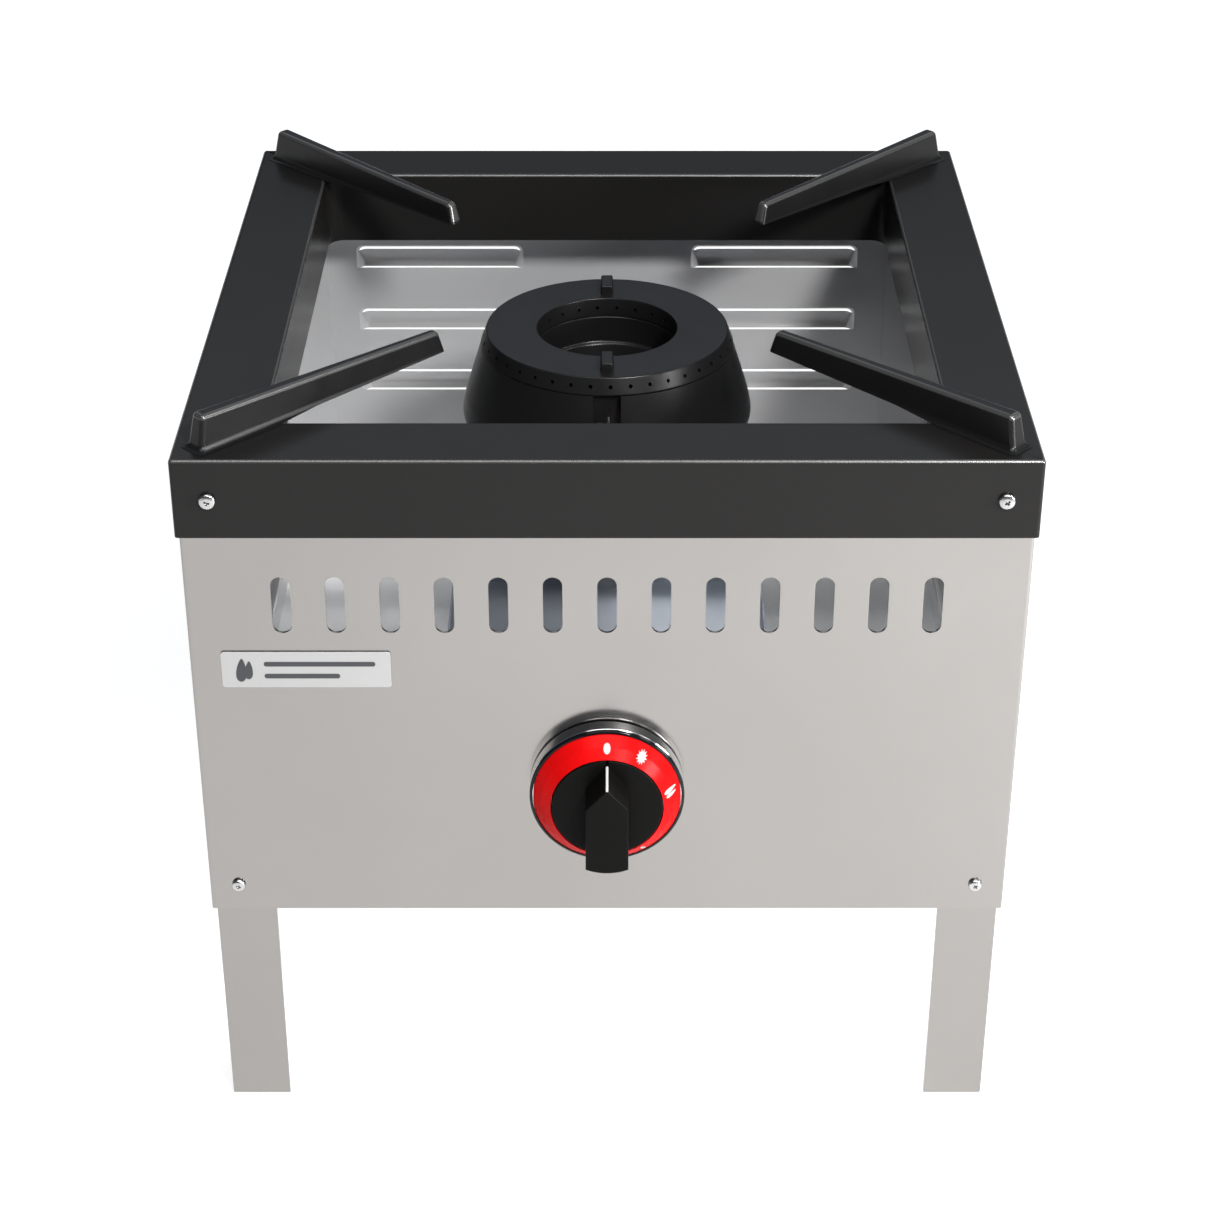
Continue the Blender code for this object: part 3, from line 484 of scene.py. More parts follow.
def cylinder(name, start, end, radius, sides=32):
    along = end - start
    bpy.ops.object.select_all(action="DESELECT")
    bpy.ops.mesh.primitive_cylinder_add(vertices=sides, radius=radius * MM, depth=along.length,
                                        location=(start + end) / 2)
    obj = bpy.context.object
    obj.name = obj.data.name = name
    obj.rotation_euler = along.to_track_quat("Z", "Y").to_euler()
    return settle(obj)


def brick(name, low, high):
    bpy.ops.object.select_all(action="DESELECT")
    bpy.ops.mesh.primitive_cube_add(size=1, location=(low + high) / 2)
    obj = bpy.context.object
    obj.name = obj.data.name = name
    obj.scale = high - low
    return settle(obj)


def second_finish_where(obj, material, wanted):
    """Give a second finish to the faces that pass the test, such as a glossy bend painted lighter
    as a highlight, or a lighter copy of the steel painted as light.
    """
    obj.data.materials.append(FINISHES[material])
    for face in obj.data.polygons:
        if wanted(face):
            face.material_index = 1


def place(obj, material, body, slot, *nodes, crease=35):
    """Give a finished piece its material, its body and the solids it stands for."""
    obj.data.materials.clear()
    obj.data.materials.append(FINISHES[material])
    only(obj)
    bpy.ops.object.shade_smooth_by_angle(angle=math.radians(crease))
    use_modifier(obj, "WEIGHTED_NORMAL", keep_sharp=True)
    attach(obj, body)
    if nodes:
        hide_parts(*nodes)
    return obj


# ------------------------------------------------------------------ frame and pan supports

def rounded_brick(name, low, high, radius, segments):
    """Brick with its four upright edges rounded."""
    obj = brick(name, low, high)
    round_edges(obj, radius, segments,
                lambda edge: abs(edge.verts[0].co.z - edge.verts[1].co.z) > 1e-5)
    return obj


def square_block(name, half, bottom, top, radius, segments):
    """Rounded brick round the stove's middle."""
    return rounded_brick(name, at(-half, -half, bottom), at(half, half, top), radius, segments)


def model_frame():
    """Pressed square ring with both rims folded down and its bends rounded."""
    corner, mouth_corner, rim_bend, straight = 2.0, 9.0, 1.8, 140
    pressing = square_block("frame_pressing", FRAME_HALF, FRAME_FOOT, FRAME_TOP, corner, 5)
    combine(pressing, square_block("opening", MOUTH_HALF, FRAME_FOOT - PAST, FRAME_TOP + PAST,
                                   mouth_corner, 8), "DIFFERENCE")
    for x in (-straight, straight):
        cut_round(pressing, at(x, 0, 0), (1, 0, 0))

    def on_rim(edge):
        level = all(v.co.z > (FRAME_TOP - 0.01) * MM for v in edge.verts)
        return level and any(abs(face.normal.z) < 0.5 for face in edge.link_faces)

    round_edges(pressing, rim_bend, 6, on_rim)
    channel = square_block("channel", FRAME_HALF - SHEET, FRAME_FOOT - PAST, FRAME_TOP - SHEET,
                           0.6, 2)
    combine(channel, square_block("core", MOUTH_HALF + SHEET, FRAME_FOOT - PAST - 3,
                                  FRAME_TOP + PAST, mouth_corner + SHEET, 8), "DIFFERENCE")
    combine(pressing, channel, "DIFFERENCE")
    x, z = FRAME_SCREW
    drills = [cylinder("drill", at(sx * x, sy * (FRAME_HALF - 5), z),
                       at(sx * x, sy * (FRAME_HALF + 5), z), SCREW_HOLE, 16)
              for sx in (-1, 1) for sy in (-1, 1)]
    combine(pressing, joined(drills), "DIFFERENCE")
    place(pressing, "black_enamel", "stove", "black_enamel", "top_frame")
    # The rim's rounded bends get the lighter, glossier enamel: a painted highlight along the top
    # edges
    second_finish_where(pressing, "enamel_bend_painted_highlight", lambda face: 0.2 < face.normal.z < 0.98
                and face.center.z > (FRAME_TOP - 2.5) * MM)


def model_pan_supports():
    """One cast bar, drafted, rounded and flared at its foot, then turned to the corners."""
    centre = at(0, 0, 0)
    mouth = MOUTH_HALF * math.sqrt(2)
    half_foot, half_crown, slim_end = 5.2, 3.9, 0.72
    outline = [(267.6, GAP), (264.2, 17.3), (118.8, 13.0), (115.6, 1.8), (mouth + 1, GAP)]
    foot_flare = ((GAP, 3.0), (0.7, 1.9), (1.3, 1.0), (2.1, 0.4), (3.1, 0.1))
    inner_end, outer_end, waist = 130, 260, FRAME_TOP + 8
    points = [centre + Vector((reach, -half_foot, FRAME_TOP + height)) * MM
              for reach, height in outline]
    bar = slab("pan_support", points, Vector((0, 2 * half_foot * MM, 0)))
    stretch(bar, (1, half_crown / half_foot, 1), centre, lambda co: co.z > waist * MM)
    stretch(bar, (1, slim_end, 1), centre, lambda co: co.x < centre.x + inner_end * MM)
    pick(bar, "EDGE", lambda edge: max(v.co.z for v in edge.verts) > waist * MM)
    bpy.ops.mesh.bevel(offset=2.3 * MM, segments=6, affect="EDGES", clamp_overlap=True)
    for height, _ in foot_flare[1:]:
        cut_round(bar, (0, 0, (FRAME_TOP + height) * MM), (0, 0, 1))
    for height, flare in foot_flare:
        def at_level(co):
            return (abs(co.z - (FRAME_TOP + height) * MM) < 0.05 * MM
                    and co.x > centre.x + (mouth + 0.5) * MM)

        stretch(bar, (1, (half_foot + flare) / half_foot, 1), centre, at_level)
        shift(bar, (0.8 * flare, 0, 0),
              lambda co: at_level(co) and co.x > centre.x + outer_end * MM)
    corners = {"rear_right": 45, "rear_left": 135, "front_left": 225, "front_right": 315}
    for name, degrees in corners.items():
        support = turned_copy(bar, f"pan_bar_{name}", math.radians(degrees))
        place(support, "cast_iron", "stove", "cast_iron", f"pan_support_{name}", crease=50)
        # The crown's rounded edges get the same lighter, glossier enamel: a painted highlight
        second_finish_where(support, "enamel_bend_painted_highlight", lambda face: 0.25 < face.normal.z < 0.97
                    and face.center.z > (FRAME_TOP + 6) * MM)
    bpy.data.objects.remove(bar, do_unlink=True)


# ------------------------------------------------------------------ cabinet

def folded_sheet(name, side):
    """Panel with both ends folded back, from its plan."""
    fold_radius = 1.8
    plan = [(PANEL_HALF, FOLD_END), (PANEL_HALF, PANEL_FACE), (-PANEL_HALF, PANEL_FACE),
            (-PANEL_HALF, FOLD_END)]
    points = [at(x, side * y, PANEL_FOOT) for x, y in eased(plan, fold_radius, 6)]
    obj = drawn_line(name, points)
    bpy.ops.mesh.select_all(action="SELECT")
    extrude_to((0, 0, (PANEL_TOP - PANEL_FOOT) * MM))
    bpy.ops.mesh.select_all(action="SELECT")
    bpy.ops.mesh.normals_make_consistent(inside=False)
    bm = bmesh.from_edit_mesh(obj.data)
    widest = max(bm.faces, key=lambda face: face.calc_area())
    if widest.normal.y * side < 0:
        bpy.ops.mesh.flip_normals()
    bpy.ops.object.mode_set(mode="OBJECT")
    return use_modifier(obj, "SOLIDIFY", thickness=SHEET * MM, offset=-1, use_even_offset=True)


def slot_punch():
    """Round punch stretched into an upright slot."""
    height, radius, reach = 296, 4.6, 10.4
    punch = cylinder("punch", at(0, -DRILL_OUT, height), at(0, -DRILL_IN, height), radius, 40)
    shift(punch, (0, 0, reach), lambda co: co.z > (height + 0.1) * MM)
    shift(punch, (0, 0, -reach), lambda co: co.z < (height - 0.1) * MM)
    return punch


def screw_drills(side):
    """The four drills of one panel, two at the frame's screws and two below."""
    return [cylinder("drill", at(sx * x, side * DRILL_IN, z), at(sx * x, side * DRILL_OUT, z),
                     SCREW_HOLE, 16)
            for sx in (-1, 1) for x, z in (FRAME_SCREW, PANEL_SCREW)]


def soften(obj, width, segments):
    """Break the sharp edges of a finished piece."""
    return use_modifier(obj, "BEVEL", width=width * MM, segments=segments,
                        limit_method="ANGLE", angle_limit=math.radians(50))


def model_front_panel():
    slot_pitch, slots_each_side, tap_hole = 25.5, 6, 7.0
    panel = folded_sheet("slotted_front", -1)
    punches = [slot_punch()]
    punches += [shifted_copy(punches[0], "punch", Vector((slot_pitch * k * MM, 0, 0)))
                for k in range(-slots_each_side, slots_each_side + 1) if k]
    combine(panel, joined(punches + screw_drills(-1)), "DIFFERENCE")
    combine(panel, cylinder("drill", at(0, -DRILL_OUT, KNOB_Z), at(0, -DRILL_IN, KNOB_Z),
                            tap_hole), "DIFFERENCE")
    soften(panel, 0.25, 2)
    place(panel, "stainless", "stove", "stainless", "front_panel")


def pressed_hood(name, shell):
    """Louvre hood for the rear sheet: round-cornered brick drawn down towards its nose.

    Shell is 0 for its outside and the wall's thickness for its hollow, which is open below
    and slopes up to the sheet, so the hood hangs in front of the slot.
    """
    half, high = 49.25 - shell, -shell
    low = -17.7 if shell else -14.7
    nose_top = -9.7 - shell
    slope, flare, nose_taper = 4.7, 2.2, 3
    root = PANEL_FACE - (SHEET + 1 if shell else 0.9)
    hood = brick(name, at(-half, root, low), at(half, LOUVRE_FACE - shell, high))
    nose_y = at(0, PANEL_FACE + 1, 0).y

    def is_upper_corner(edge):
        ends = [v.co for v in edge.verts]
        return abs(ends[0].y - ends[1].y) > 1 * MM and ends[0].z > -5 * MM

    round_edges(hood, 4.8 - shell, 7, is_upper_corner)
    if shell:
        shift(hood, (0, 0, slope), lambda co: co.y < nose_y and co.z < (low + 1) * MM)
        cut_round(hood, at(0, PANEL_FACE, 0), (0, 1, 0))
        root_low = low + slope
        tall = high - root_low
        stretch(hood, ((half + flare) / half, 1, (tall + flare) / tall), at(0, 0, root_low),
                lambda co: co.y < at(0, PANEL_FACE - SHEET, 0).y)
    stretch(hood, ((half - nose_taper) / half, 1, (nose_top - low) / (high - low)),
            at(0, 0, low), lambda co: co.y > nose_y)
    round_edges(hood, 0.9, 3, lambda edge: all(v.co.y > nose_y for v in edge.verts)
                and max(v.co.z for v in edge.verts) > (low + 0.5) * MM)
    return hood


def model_rear_panel():
    """Folded sheet with two columns of louvres, bright outside and duller inside, where a lighter
    copy of the steel is painted on as light.
    """
    column_x, top_row, row_pitch, rows, wall = 99.25, 314.6, 40, 5, 1.2
    panel = folded_sheet("louvred_back", 1)
    for shell, how in ((0, "UNION"), (wall, "DIFFERENCE")):
        hood = pressed_hood("hood", shell)
        hoods = [shifted_copy(hood, "hood",
                              Vector((sx * column_x, 0, top_row - row_pitch * row)) * MM)
                 for sx in (-1, 1) for row in range(rows)]
        bpy.data.objects.remove(hood, do_unlink=True)
        combine(panel, joined(hoods), how)
    combine(panel, joined(screw_drills(1)), "DIFFERENCE")
    # The whole sheet takes the lighter copy of the steel, painted light for its inside face; the
    # outside and the folds then get the plain stainless
    place(panel, "inner_steel_painted_light", "stove", "stainless", "rear_panel")

    def outside(face):
        across = face.center.x - MIDDLE.x
        fold = abs(across) > (PANEL_HALF - 3.2) * MM and face.normal.x * across > 0
        return face.normal.y > 0.05 or fold

    second_finish_where(panel, "stainless", outside)


def model_side_panels():
    """Plain side sheets, drawn along their depth outside and left duller inside, where a lighter
    copy of the steel is painted on as light.
    """
    for side, outward in (("left", -1), ("right", 1)):
        low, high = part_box(f"{side}_side_panel")
        sheet = rounded_brick(f"side_sheet_{side}", low, high, 0.2, 2)
        # The inside face keeps the lighter copy of the steel, painted light inside the cabinet; the
        # outside gets the drawn side steel
        place(sheet, "inner_steel_painted_light", "stove", "stainless", f"{side}_side_panel")
        second_finish_where(sheet, "side_steel", lambda face: face.normal.x * outward > -0.5)


def model_legs():
    """Folded angle legs, painted bright where they stand inside the cabinet: a lighter copy of the
    steel as painted light.
    """
    wall, bend, inside_from = 2 * MM, 1.2, PANEL_FOOT + 0.4
    for end, sy in (("front", -1), ("rear", 1)):
        for side, sx in (("left", -1), ("right", 1)):
            low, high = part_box(f"leg_{end}_{side}")
            outer_x, inner_x = (low.x, high.x) if sx < 0 else (high.x, low.x)
            outer_y, inner_y = (low.y, high.y) if sy < 0 else (high.y, low.y)
            corners = [(inner_x, outer_y), (outer_x, outer_y), (outer_x, inner_y),
                       (outer_x - sx * wall, inner_y), (outer_x - sx * wall, outer_y - sy * wall),
                       (inner_x, outer_y - sy * wall)]
            leg = slab(f"angle_leg_{end}_{side}", [Vector((x, y, low.z)) for x, y in corners],
                       Vector((0, 0, high.z - low.z)))
            cut_round(leg, (0, 0, inside_from * MM), (0, 0, 1))
            round_edges(leg, bend, 4, lambda edge: all(
                abs(v.co.x - outer_x) < 1e-6 and abs(v.co.y - outer_y) < 1e-6
                for v in edge.verts))
            combine(leg, joined(screw_drills(sy)), "DIFFERENCE")
            place(leg, "leg_steel", "stove", "stainless", f"leg_{end}_{side}")
            # Above the panel's foot the leg gets the lighter copy of the steel: painted light
            # inside the cabinet
            second_finish_where(leg, "inner_steel_painted_light", lambda face: face.center.z > (inside_from + 1) * MM)


def flat_plate(name, x0, x1, z0, z1, radius, back, front):
    """Upright plate on the front panel, with round corners. Depths are from the panel's face."""
    plate = brick(name, at(x0, -PANEL_FACE - front, z0), at(x1, -PANEL_FACE - back, z1))
    round_edges(plate, radius, 6, lambda edge: (edge.verts[0].co - edge.verts[1].co)
                .normalized().y ** 2 > 0.9)
    return plate


def model_name_plate():
    """Plain white plate with a flame sign and two bars, in dark print."""
    thickness, print_lift, sunk = 0.8, 0.06, 0.08
    (x0, _, z0), (x1, _, z1) = corners_of("name_plate")
    face = GAP + thickness
    plate = flat_plate("name_badge", x0, x1, z0, z1, 1.6, GAP, face)
    soften(plate, 0.22, 3)
    place(plate, "plate_face", "stove", "label_white", "name_plate")
    lobes = []
    for x, tall in ((x0 + 9.2, 6.4), (x0 + 12.8, 5.0)):
        points = [at(x + u, -PANEL_FACE - face - print_lift, z0 + 9.6 + v)
                  for u, v in flame_shape(0.0, tall, 0.12)]
        lobes.append(slab("lobe", points, Vector((0, (print_lift + sunk) * MM, 0))))
    sign = combine(lobes[0], lobes[1], "UNION")
    sign.name = sign.data.name = "badge_flame"
    place(sign, "plate_print", "stove", "knob_black")
    bar_start, bar_half = x0 + 20.4, 1.3
    for index, (bar_end, z) in enumerate(((-110, z0 + 13.0), (-127, z0 + 6.4))):
        bar = flat_plate(f"badge_bar_{index + 1}", bar_start, bar_end, z - bar_half,
                         z + bar_half, 1.2, face - sunk, face + print_lift)
        place(bar, "plate_print", "stove", "knob_black")


# ------------------------------------------------------------------ screws

def model_screw(radius, origin):
    """Pan head with a cross recess, on a plain shank."""
    tall, shank = 0.62 * radius, 1.9
    dome = [(0, -10), (shank, -9.2), (shank, 0), (radius, 0), (radius, 0.45 * tall),
            (0.86 * radius, 0.8 * tall), (0.5 * radius, 0.97 * tall), (0, tall)]
    screw = spun("pan_screw", eased(dome, 0.35, 3), origin, (0, -1, 0), 40)
    arms = []
    for width, height, narrowed in ((0.60, 0.13, (0.5, 1, 1)), (0.13, 0.60, (1, 1, 0.5))):
        reach = Vector((width * radius, 0, height * radius)) * MM
        arm = brick("arm", origin - reach + Vector((0, -4 * tall, 0)) * MM,
                    origin + reach + Vector((0, -0.35 * tall, 0)) * MM)
        stretch(arm, narrowed, origin, lambda co: co.y > origin.y - tall * MM)
        arms.append(arm)
    for arm in arms:
        combine(screw, arm, "DIFFERENCE")
    return screw


def model_screws():
    for kind, (x, z), face, radius in (("frame", FRAME_SCREW, FRAME_HALF + GAP, FRAME_SCREW_RADIUS),
                                       ("panel", PANEL_SCREW, PANEL_FACE + GAP,
                                        PANEL_SCREW_RADIUS)):
        origin = at(-x, -face, z)
        screw = model_screw(radius, origin)
        for index, (end, sx) in enumerate((("left", -1), ("right", 1))):
            twist = Matrix.Rotation(math.radians(18 + 37 * index), 4, "Y")
            for side, sy, turn in (("front", -1, 0), ("rear", 1, math.pi)):
                head = duplicate(screw, f"{kind}_pan_screw_{side}_{end}")
                head.matrix_world = (Matrix.Translation(at(sx * x, sy * face, z))
                                     @ Matrix.Rotation(turn, 4, "Z") @ twist
                                     @ Matrix.Translation(-origin))
                settle(head)
                place(head, "zinc_screw", "stove", "zinc_screw", f"{kind}_screw_{side}_{end}")
        bpy.data.objects.remove(screw, do_unlink=True)


# ------------------------------------------------------------------ burner

def drill_ring(count, first, radius, height, tilt, reach, size):
    """A ring of slim drills pointing outward, made from one."""
    middle = at(radius, 0, height)
    way = Vector((math.cos(tilt), 0, math.sin(tilt))) * reach * MM
    pattern = cylinder("drill", middle - way, middle + way, size, 12)
    drills = [turned_copy(pattern, "drill", first + FULL_TURN * i / count)
              for i in range(count)]
    bpy.data.objects.remove(pattern, do_unlink=True)
    return joined(drills)


def model_burner_cap():
    """Loose ring with outer and inner ports and two small ears."""
    ring = [(36.0, 345.0), (36.0, 340.1), (40.0, 340.1), (40.0, 347.0), (60.2, 347.0),
            (62.9, 341.6), (66.4, 341.6), (63.0, 350.3), (36.6, 350.3), (36.0, 345.0)]
    cap = spun("port_ring", eased(ring, 0.7)[:-1], at(0, 0, 0), (0, 0, 1), 160, closed=True)
    half_ear, ear_waist = 3.5, 352
    ears = []
    for side in (-1, 1):
        low, high = sorted((side * 41.4, side * 56.8))
        ear = brick("ear", at(-half_ear, low, 349.4), at(half_ear, high, 355.3))
        stretch(ear, (0.88, 1, 1), at(0, 0, ear_waist), lambda co: co.z > ear_waist * MM)
        round_edges(ear, 0.9, 4,
                    lambda edge: max(v.co.z for v in edge.verts) > ear_waist * MM)
        ears.append(ear)
    combine(cap, joined(ears), "UNION")
    square_to_rim = math.atan2(3.4, 8.7)
    outer_ports, inner_ports = 40, 22
    outer = drill_ring(outer_ports, math.radians(-88.4), 64.7, 345.7, square_to_rim, 4, 1.05)
    inner = drill_ring(inner_ports, math.radians(90) + math.pi / inner_ports, 38.0, 344.9, 0,
                       3.4, 1.0)
    combine(cap, outer, "DIFFERENCE")
    combine(cap, inner, "DIFFERENCE")
    place(cap, "cast_iron", "burner_cap", "cast_iron", "burner_cap", crease=30)


def model_burner_body():
    """Cast bowl with a mixing tube to the front and a notch for the pilot."""
    section = [(66.2, 341.2), (74.6, 314.0), (76.2, 306.5), (76.2, 303.5), (73.9, 296.0),
               (67.0, 279.0), (60.0, 270.0), (31.0, 270.0), (28.0, 273.0), (28.0, 298.0),
               (34.4, 324.6), (36.0, 325.6), (36.0, 339.8), (40.0, 339.8), (40.0, 325.0),
               (34.0, 281.0), (58.0, 281.0), (64.0, 290.0), (70.5, 304.5), (62.6, 341.2),
               (66.2, 341.2)]
    body = spun("burner_casting", eased(section, 0.8, 3)[:-1], at(0, 0, 0), (0, 0, 1), 144,
                closed=True)
    half_boss, tube_radius, bore_radius = 11, 15.0, 12.0
    boss = [(-54, 340.9), (-64.6, 340.9), (-72.5, 306), (-72.5, 300), (-54, 300)]
    combine(body, slab("boss", [at(-half_boss, y, z) for y, z in boss],
                       Vector((2 * half_boss * MM, 0, 0))), "UNION")
    combine(body, cylinder("tube", at(0, -67, TUBE_Z), at(0, -138, TUBE_Z), tube_radius, 64),
            "UNION")
    combine(body, cylinder("bore", at(0, -45, TUBE_Z), at(0, -139, TUBE_Z), bore_radius, 64),
            "DIFFERENCE")
    combine(body, brick("notch", at(-7, -90, 313), at(7, -62, 345)), "DIFFERENCE")
    bolt_x, bolt_y, bolt_hole = 34, 38, 3.2
    drills = [cylinder("drill", at(sx * bolt_x, sy * bolt_y, 265),
                       at(sx * bolt_x, sy * bolt_y, 279), bolt_hole, 20)
              for sx in (-1, 1) for sy in (-1, 1)]
    combine(body, joined(drills), "DIFFERENCE")
    place(body, "cast_iron", "stove", "cast_iron", "burner_body", crease=30)


# ------------------------------------------------------------------ knob and dial

KNOB_AXIS = at(0, 0, KNOB_Z)
CONE = [(35.8, 208.4), (31.9, 213.6), (27.3, 218.3)]


def knob_spun(name, profile, radius, closed=True, steps=144):
    """Turned about the tap's axis. Heights are distances in front of the frame's middle."""
    points = eased(profile + profile[:1], radius)[:-1] if closed else eased(profile, radius)
    return spun(name, points, KNOB_AXIS, (0, -1, 0), steps, closed)


def on_dial(x, y, z):
    """A point of the knob, z measured up from the tap's axis."""
    return at(x, y, KNOB_Z + z)


def model_dial():
    """Chrome trim, gloss black rim and red scale, one in front of the other."""
    trim = knob_spun("chrome_trim", [(12.5, 206.6), (12.5, 198.3), (34, 198.3), (34.2, 199.1),
                                     (37.6, 199.1), (37.6, 206.6)], 0.6)
    place(trim, "chrome", "stove", "chrome", "dial_trim")
    bezel = knob_spun("gloss_rim", [(36.1, 208.6), (36.1, 206.9), (37.6, 206.9), (37.6, 207.5),
                                    (37.1, 208.3)], 0.3)
    place(bezel, "bezel_black", "stove", "bezel_black", "dial_bezel")
    scale = knob_spun("red_dial", [(27.3, 206.9), (35.8, 206.9)] + CONE, 0.4)
    place(scale, "dial_red", "stove", "dial_red", "dial_scale", crease=50)


def round_outline(reaches):
    """Outline at even angles round a middle. A reach is how far it stands across and up."""
    turns = [FULL_TURN * i / len(reaches) for i in range(len(reaches))]
    return [(across * math.sin(turn), up * math.cos(turn))
            for (across, up), turn in zip(reaches, turns)]


def oval_mark():
    return [round_outline([(1.65, 1.85)] * 28)]


def spark_mark():
    return [round_outline([(2.8, 2.8), (1.55, 1.55)] * 12)]


def flame_shape(middle, size, lean):
    """One flame lobe: round at its foot and drawn to a point on the dial's outer side."""
    steps, half_width, narrowing = 20, 0.52, 0.55
    points = []
    for i in range(steps):
        turn = FULL_TURN * i / steps
        reach = -math.cos(turn)
        risen = (reach + 1) / 2
        across = half_width * math.sin(turn) * (1 - narrowing * risen)
        points.append((middle + size * (across + lean * risen), size * reach))
    return points


def large_flame_mark():
    return [flame_shape(-1.2, 2.8, -0.20), flame_shape(1.2, 2.3, -0.20)]


def small_flame_mark():
    return [flame_shape(0.0, 2.0, -0.15)]


def model_dial_prints():
    """Raised prints: pieces of a thin skin over the red cone, cut out by each outline."""
    inset, lift = 0.10, 0.14
    skin_line = [(r - inset, h + 0.02) for r, h in CONE]
    top_line = [(r + lift * 0.6, h + lift) for r, h in reversed(CONE)]
    radius, clear_of_dial, punch_length = 31.4, -225, 20
    marks = [("off_mark", 0, oval_mark()), ("spark_mark", 32, spark_mark()),
             ("large_flame_mark", 78, large_flame_mark()),
             ("small_flame_mark", 146, small_flame_mark())]
    for name, degrees, shapes in marks:
        print_piece = spun(name, skin_line + top_line, KNOB_AXIS, (0, -1, 0), 144, closed=True)
        turn = math.radians(degrees)
        outward = Vector((math.sin(turn), 0, math.cos(turn)))
        sideways = Vector((math.cos(turn), 0, -math.sin(turn)))
        cutters = []
        for shape in shapes:
            points = [on_dial(0, clear_of_dial, 0)
                      + (outward * (radius + v) + sideways * u) * MM for u, v in shape]
            cutters.append(slab("outline", points, Vector((0, punch_length * MM, 0))))
        while len(cutters) > 1:
            combine(cutters[0], cutters.pop(), "UNION")
        combine(print_piece, cutters[0], "INTERSECT")
        place(print_piece, "label_white", "stove", "label_white")


def model_knob():
    """Round back with a straight grip, pointed at the top like a ship's prow."""
    back = knob_spun("knob_handle", [(0, 204), (9, 204), (9, 211.5), (26.8, 211.5),
                                     (26.8, 218.2), (26.4, 218.5), (0, 218.5)], 0.3,
                     closed=False)
    radius, half_grip, shoulder, prow = 26.5, 10.3, 11.6, 24.8
    grip_back, grip_face, face_from, foot_steps = 217, 235.5, 230, 6
    swing = math.asin(half_grip / radius)
    foot = [(radius * math.sin(swing * k / foot_steps),
             -radius * math.cos(swing * k / foot_steps))
            for k in range(-foot_steps, foot_steps + 1)]
    outline = foot + [(half_grip, shoulder), (0, prow), (-half_grip, shoulder)]
    grip = slab("grip", [on_dial(x, -grip_back, z) for x, z in outline],
                Vector((0, -(grip_face - grip_back) * MM, 0)))
    face_y = on_dial(0, -face_from, 0).y
    stretch(grip, (0.985, 1, 0.865), KNOB_AXIS,
            lambda co: co.y < face_y and co.z > KNOB_Z * MM)

    def is_rounded(edge):
        front = [v.co.y < face_y for v in edge.verts]
        middle = (edge.verts[0].co + edge.verts[1].co) / 2
        return all(front) or (any(front) and abs(middle.x - KNOB_AXIS.x) < 1 * MM
                              and middle.z > KNOB_AXIS.z)

    round_edges(grip, 0.7, 4, is_rounded)
    combine(back, grip, "UNION")
    combine(back, cylinder("bore", on_dial(0, -203, 0), on_dial(0, -224, 0), 4.3), "DIFFERENCE")
    half_groove, half_pointer = 0.8, 0.62
    groove = [(-216.5, 23.5), (-237, 20.0), (-237, 26), (-216.5, 29)]
    combine(back, slab("groove", [on_dial(-half_groove, y, z) for y, z in groove],
                       Vector((2 * half_groove * MM, 0, 0))), "DIFFERENCE")
    place(back, "knob_black", "knob", "knob_black", "knob_grip", crease=30)
    bar = [(-218.9, 23.3), (-235.3, 20.5), (-235.4, 21.3), (-219.3, 24.7)]
    pointer = slab("pointer_inlay", [on_dial(-half_pointer, y, z) for y, z in bar],
                   Vector((2 * half_pointer * MM, 0, 0)))
    use_modifier(pointer, "BEVEL", width=0.28 * MM, segments=3)
    place(pointer, "label_white", "knob", "label_white", "knob_pointer")


# ------------------------------------------------------------------ carried-over solids

def dress_cad_nodes():
    """Every solid that is still shown gets the finish of its own slot."""
    finish_of = {part["node"]: part["material_slot"] for part in frame["record"]["subparts"]}
    finish_of["base_tray"] = "tray_steel"
    for name, node in frame["nodes"].items():
        finish = FINISHES[finish_of[name]]
        if not node.material_slots:
            node.data.materials.append(finish)
        for slot in node.material_slots:
            slot.material = finish


# ------------------------------------------------------------------ studio

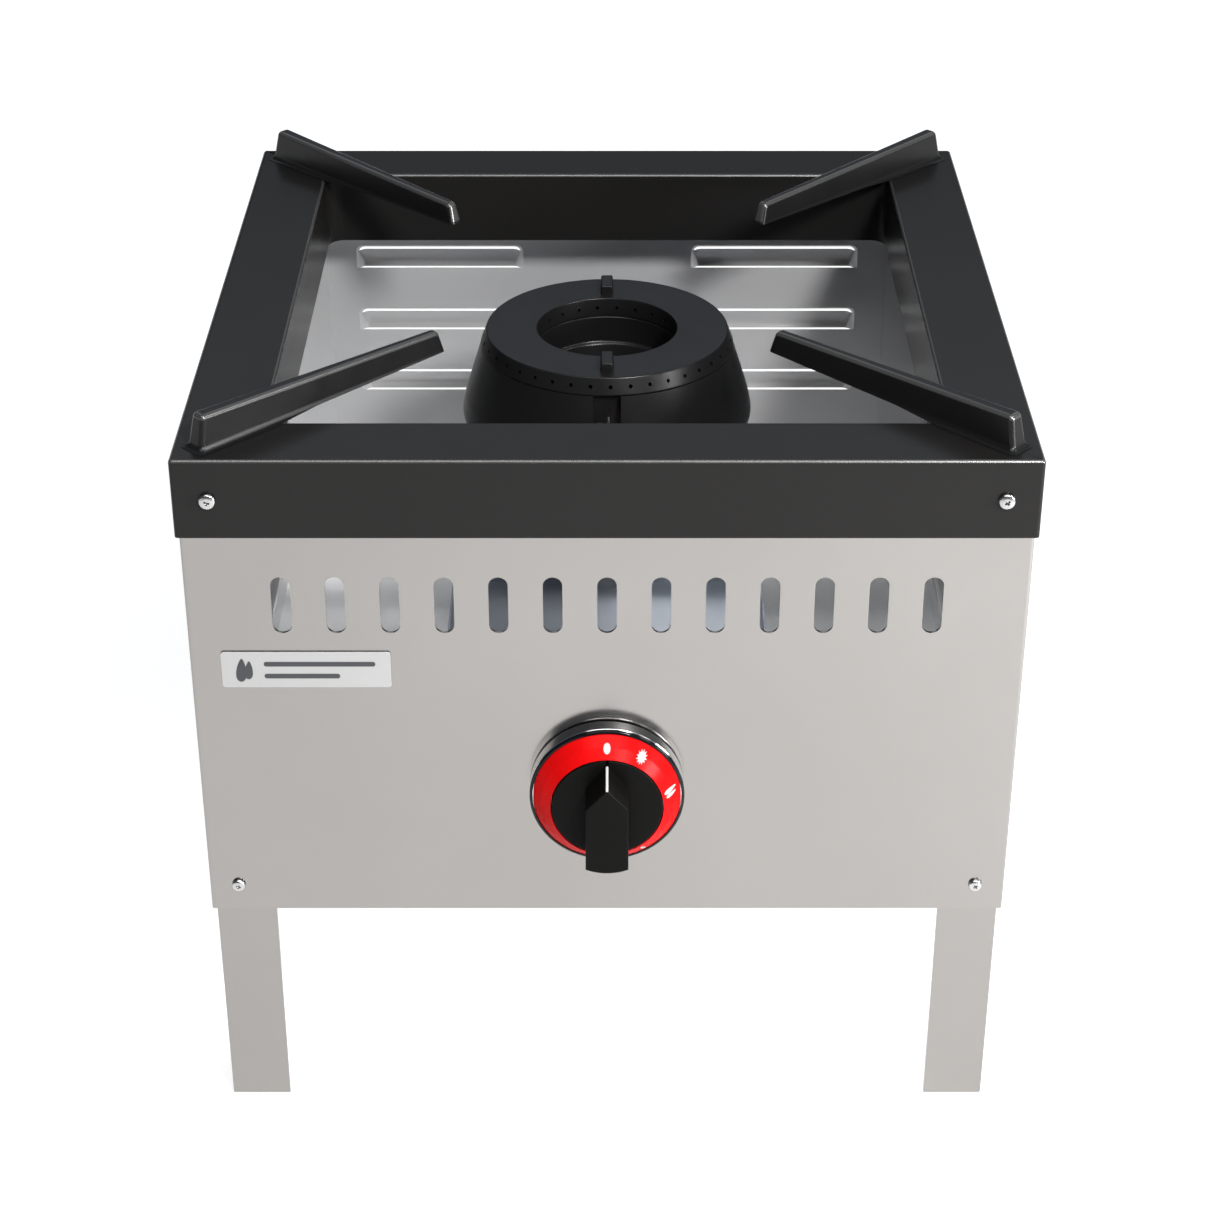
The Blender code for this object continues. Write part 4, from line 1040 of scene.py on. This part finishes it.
def add_light(name, location, target, size, power, colour=(1, 1, 1)):
    lamp = bpy.data.lights.new(name, "AREA")
    lamp.shape = "RECTANGLE"
    lamp.size, lamp.size_y = size
    lamp.energy = power
    lamp.color = colour
    obj = bpy.data.objects.new(name, lamp)
    obj.visible_camera = False
    obj.location = location
    obj.rotation_euler = (Vector(target) - Vector(location)).to_track_quat("-Z", "Y").to_euler()
    bpy.context.scene.collection.objects.link(obj)


def build_studio():
    bpy.ops.object.select_all(action="DESELECT")
    bpy.ops.mesh.primitive_plane_add(size=60, location=(0, 0, -0.0005))
    floor = bpy.context.object
    floor.name = floor.data.name = "studio_floor"
    paper = Finish("pale_floor", Specular_IOR_Level=0.1, Roughness=0.9,
                   Emission_Color=(1, 1, 1, 1), Emission_Strength=0.80)
    paper.colours(paper.effect(MOTTLE, Scale=0.6), (0.40, 0.40, 0.40), (0.42, 0.42, 0.42))
    floor.data.materials.append(paper.material)

    world = bpy.data.worlds.new("studio")
    world.use_nodes = True
    sky = world.node_tree.nodes["Background"].inputs
    sky["Color"].default_value = (0.86, 0.94, 1.06, 1)
    sky["Strength"].default_value = 0.10
    bpy.context.scene.world = world

    stove = (0, 0, 0.3)
    add_light("key_softbox", (0.71, -1.57, 1.7), stove, (0.3, 0.3), 60)
    add_light("right_softbox", (1.7, -0.25, 1.9), stove, (0.5, 0.5), 8)
    add_light("overhead_softbox", (0, -1.0, 2.5), stove, (2.0, 0.7), 34)
    add_light("backdrop_panel", (0, 2.5, 2.5), stove, (5.0, 2.0), 20, (0.82, 0.91, 1.0))
    add_light("floor_glow", (0.9, -0.6, 0.5), (0.3, -0.5, 0), (0.3, 0.3), 15)

    lens = bpy.data.cameras.new("studio_camera")
    lens.lens, lens.sensor_width = 80, 36
    camera = bpy.data.objects.new("studio_camera", lens)
    camera.location = MIDDLE + Vector((0, -1.29497, 0.92846))
    camera.rotation_euler = (math.radians(60), 0, 0)
    bpy.context.scene.collection.objects.link(camera)
    bpy.context.scene.camera = camera
    bpy.context.scene.view_settings.view_transform = "Standard"


def main():
    dress_cad_nodes()
    model_frame()
    model_pan_supports()
    model_front_panel()
    model_rear_panel()
    model_side_panels()
    model_legs()
    model_name_plate()
    model_screws()
    model_burner_cap()
    model_burner_body()
    model_dial()
    model_dial_prints()
    model_knob()
    build_studio()


main()
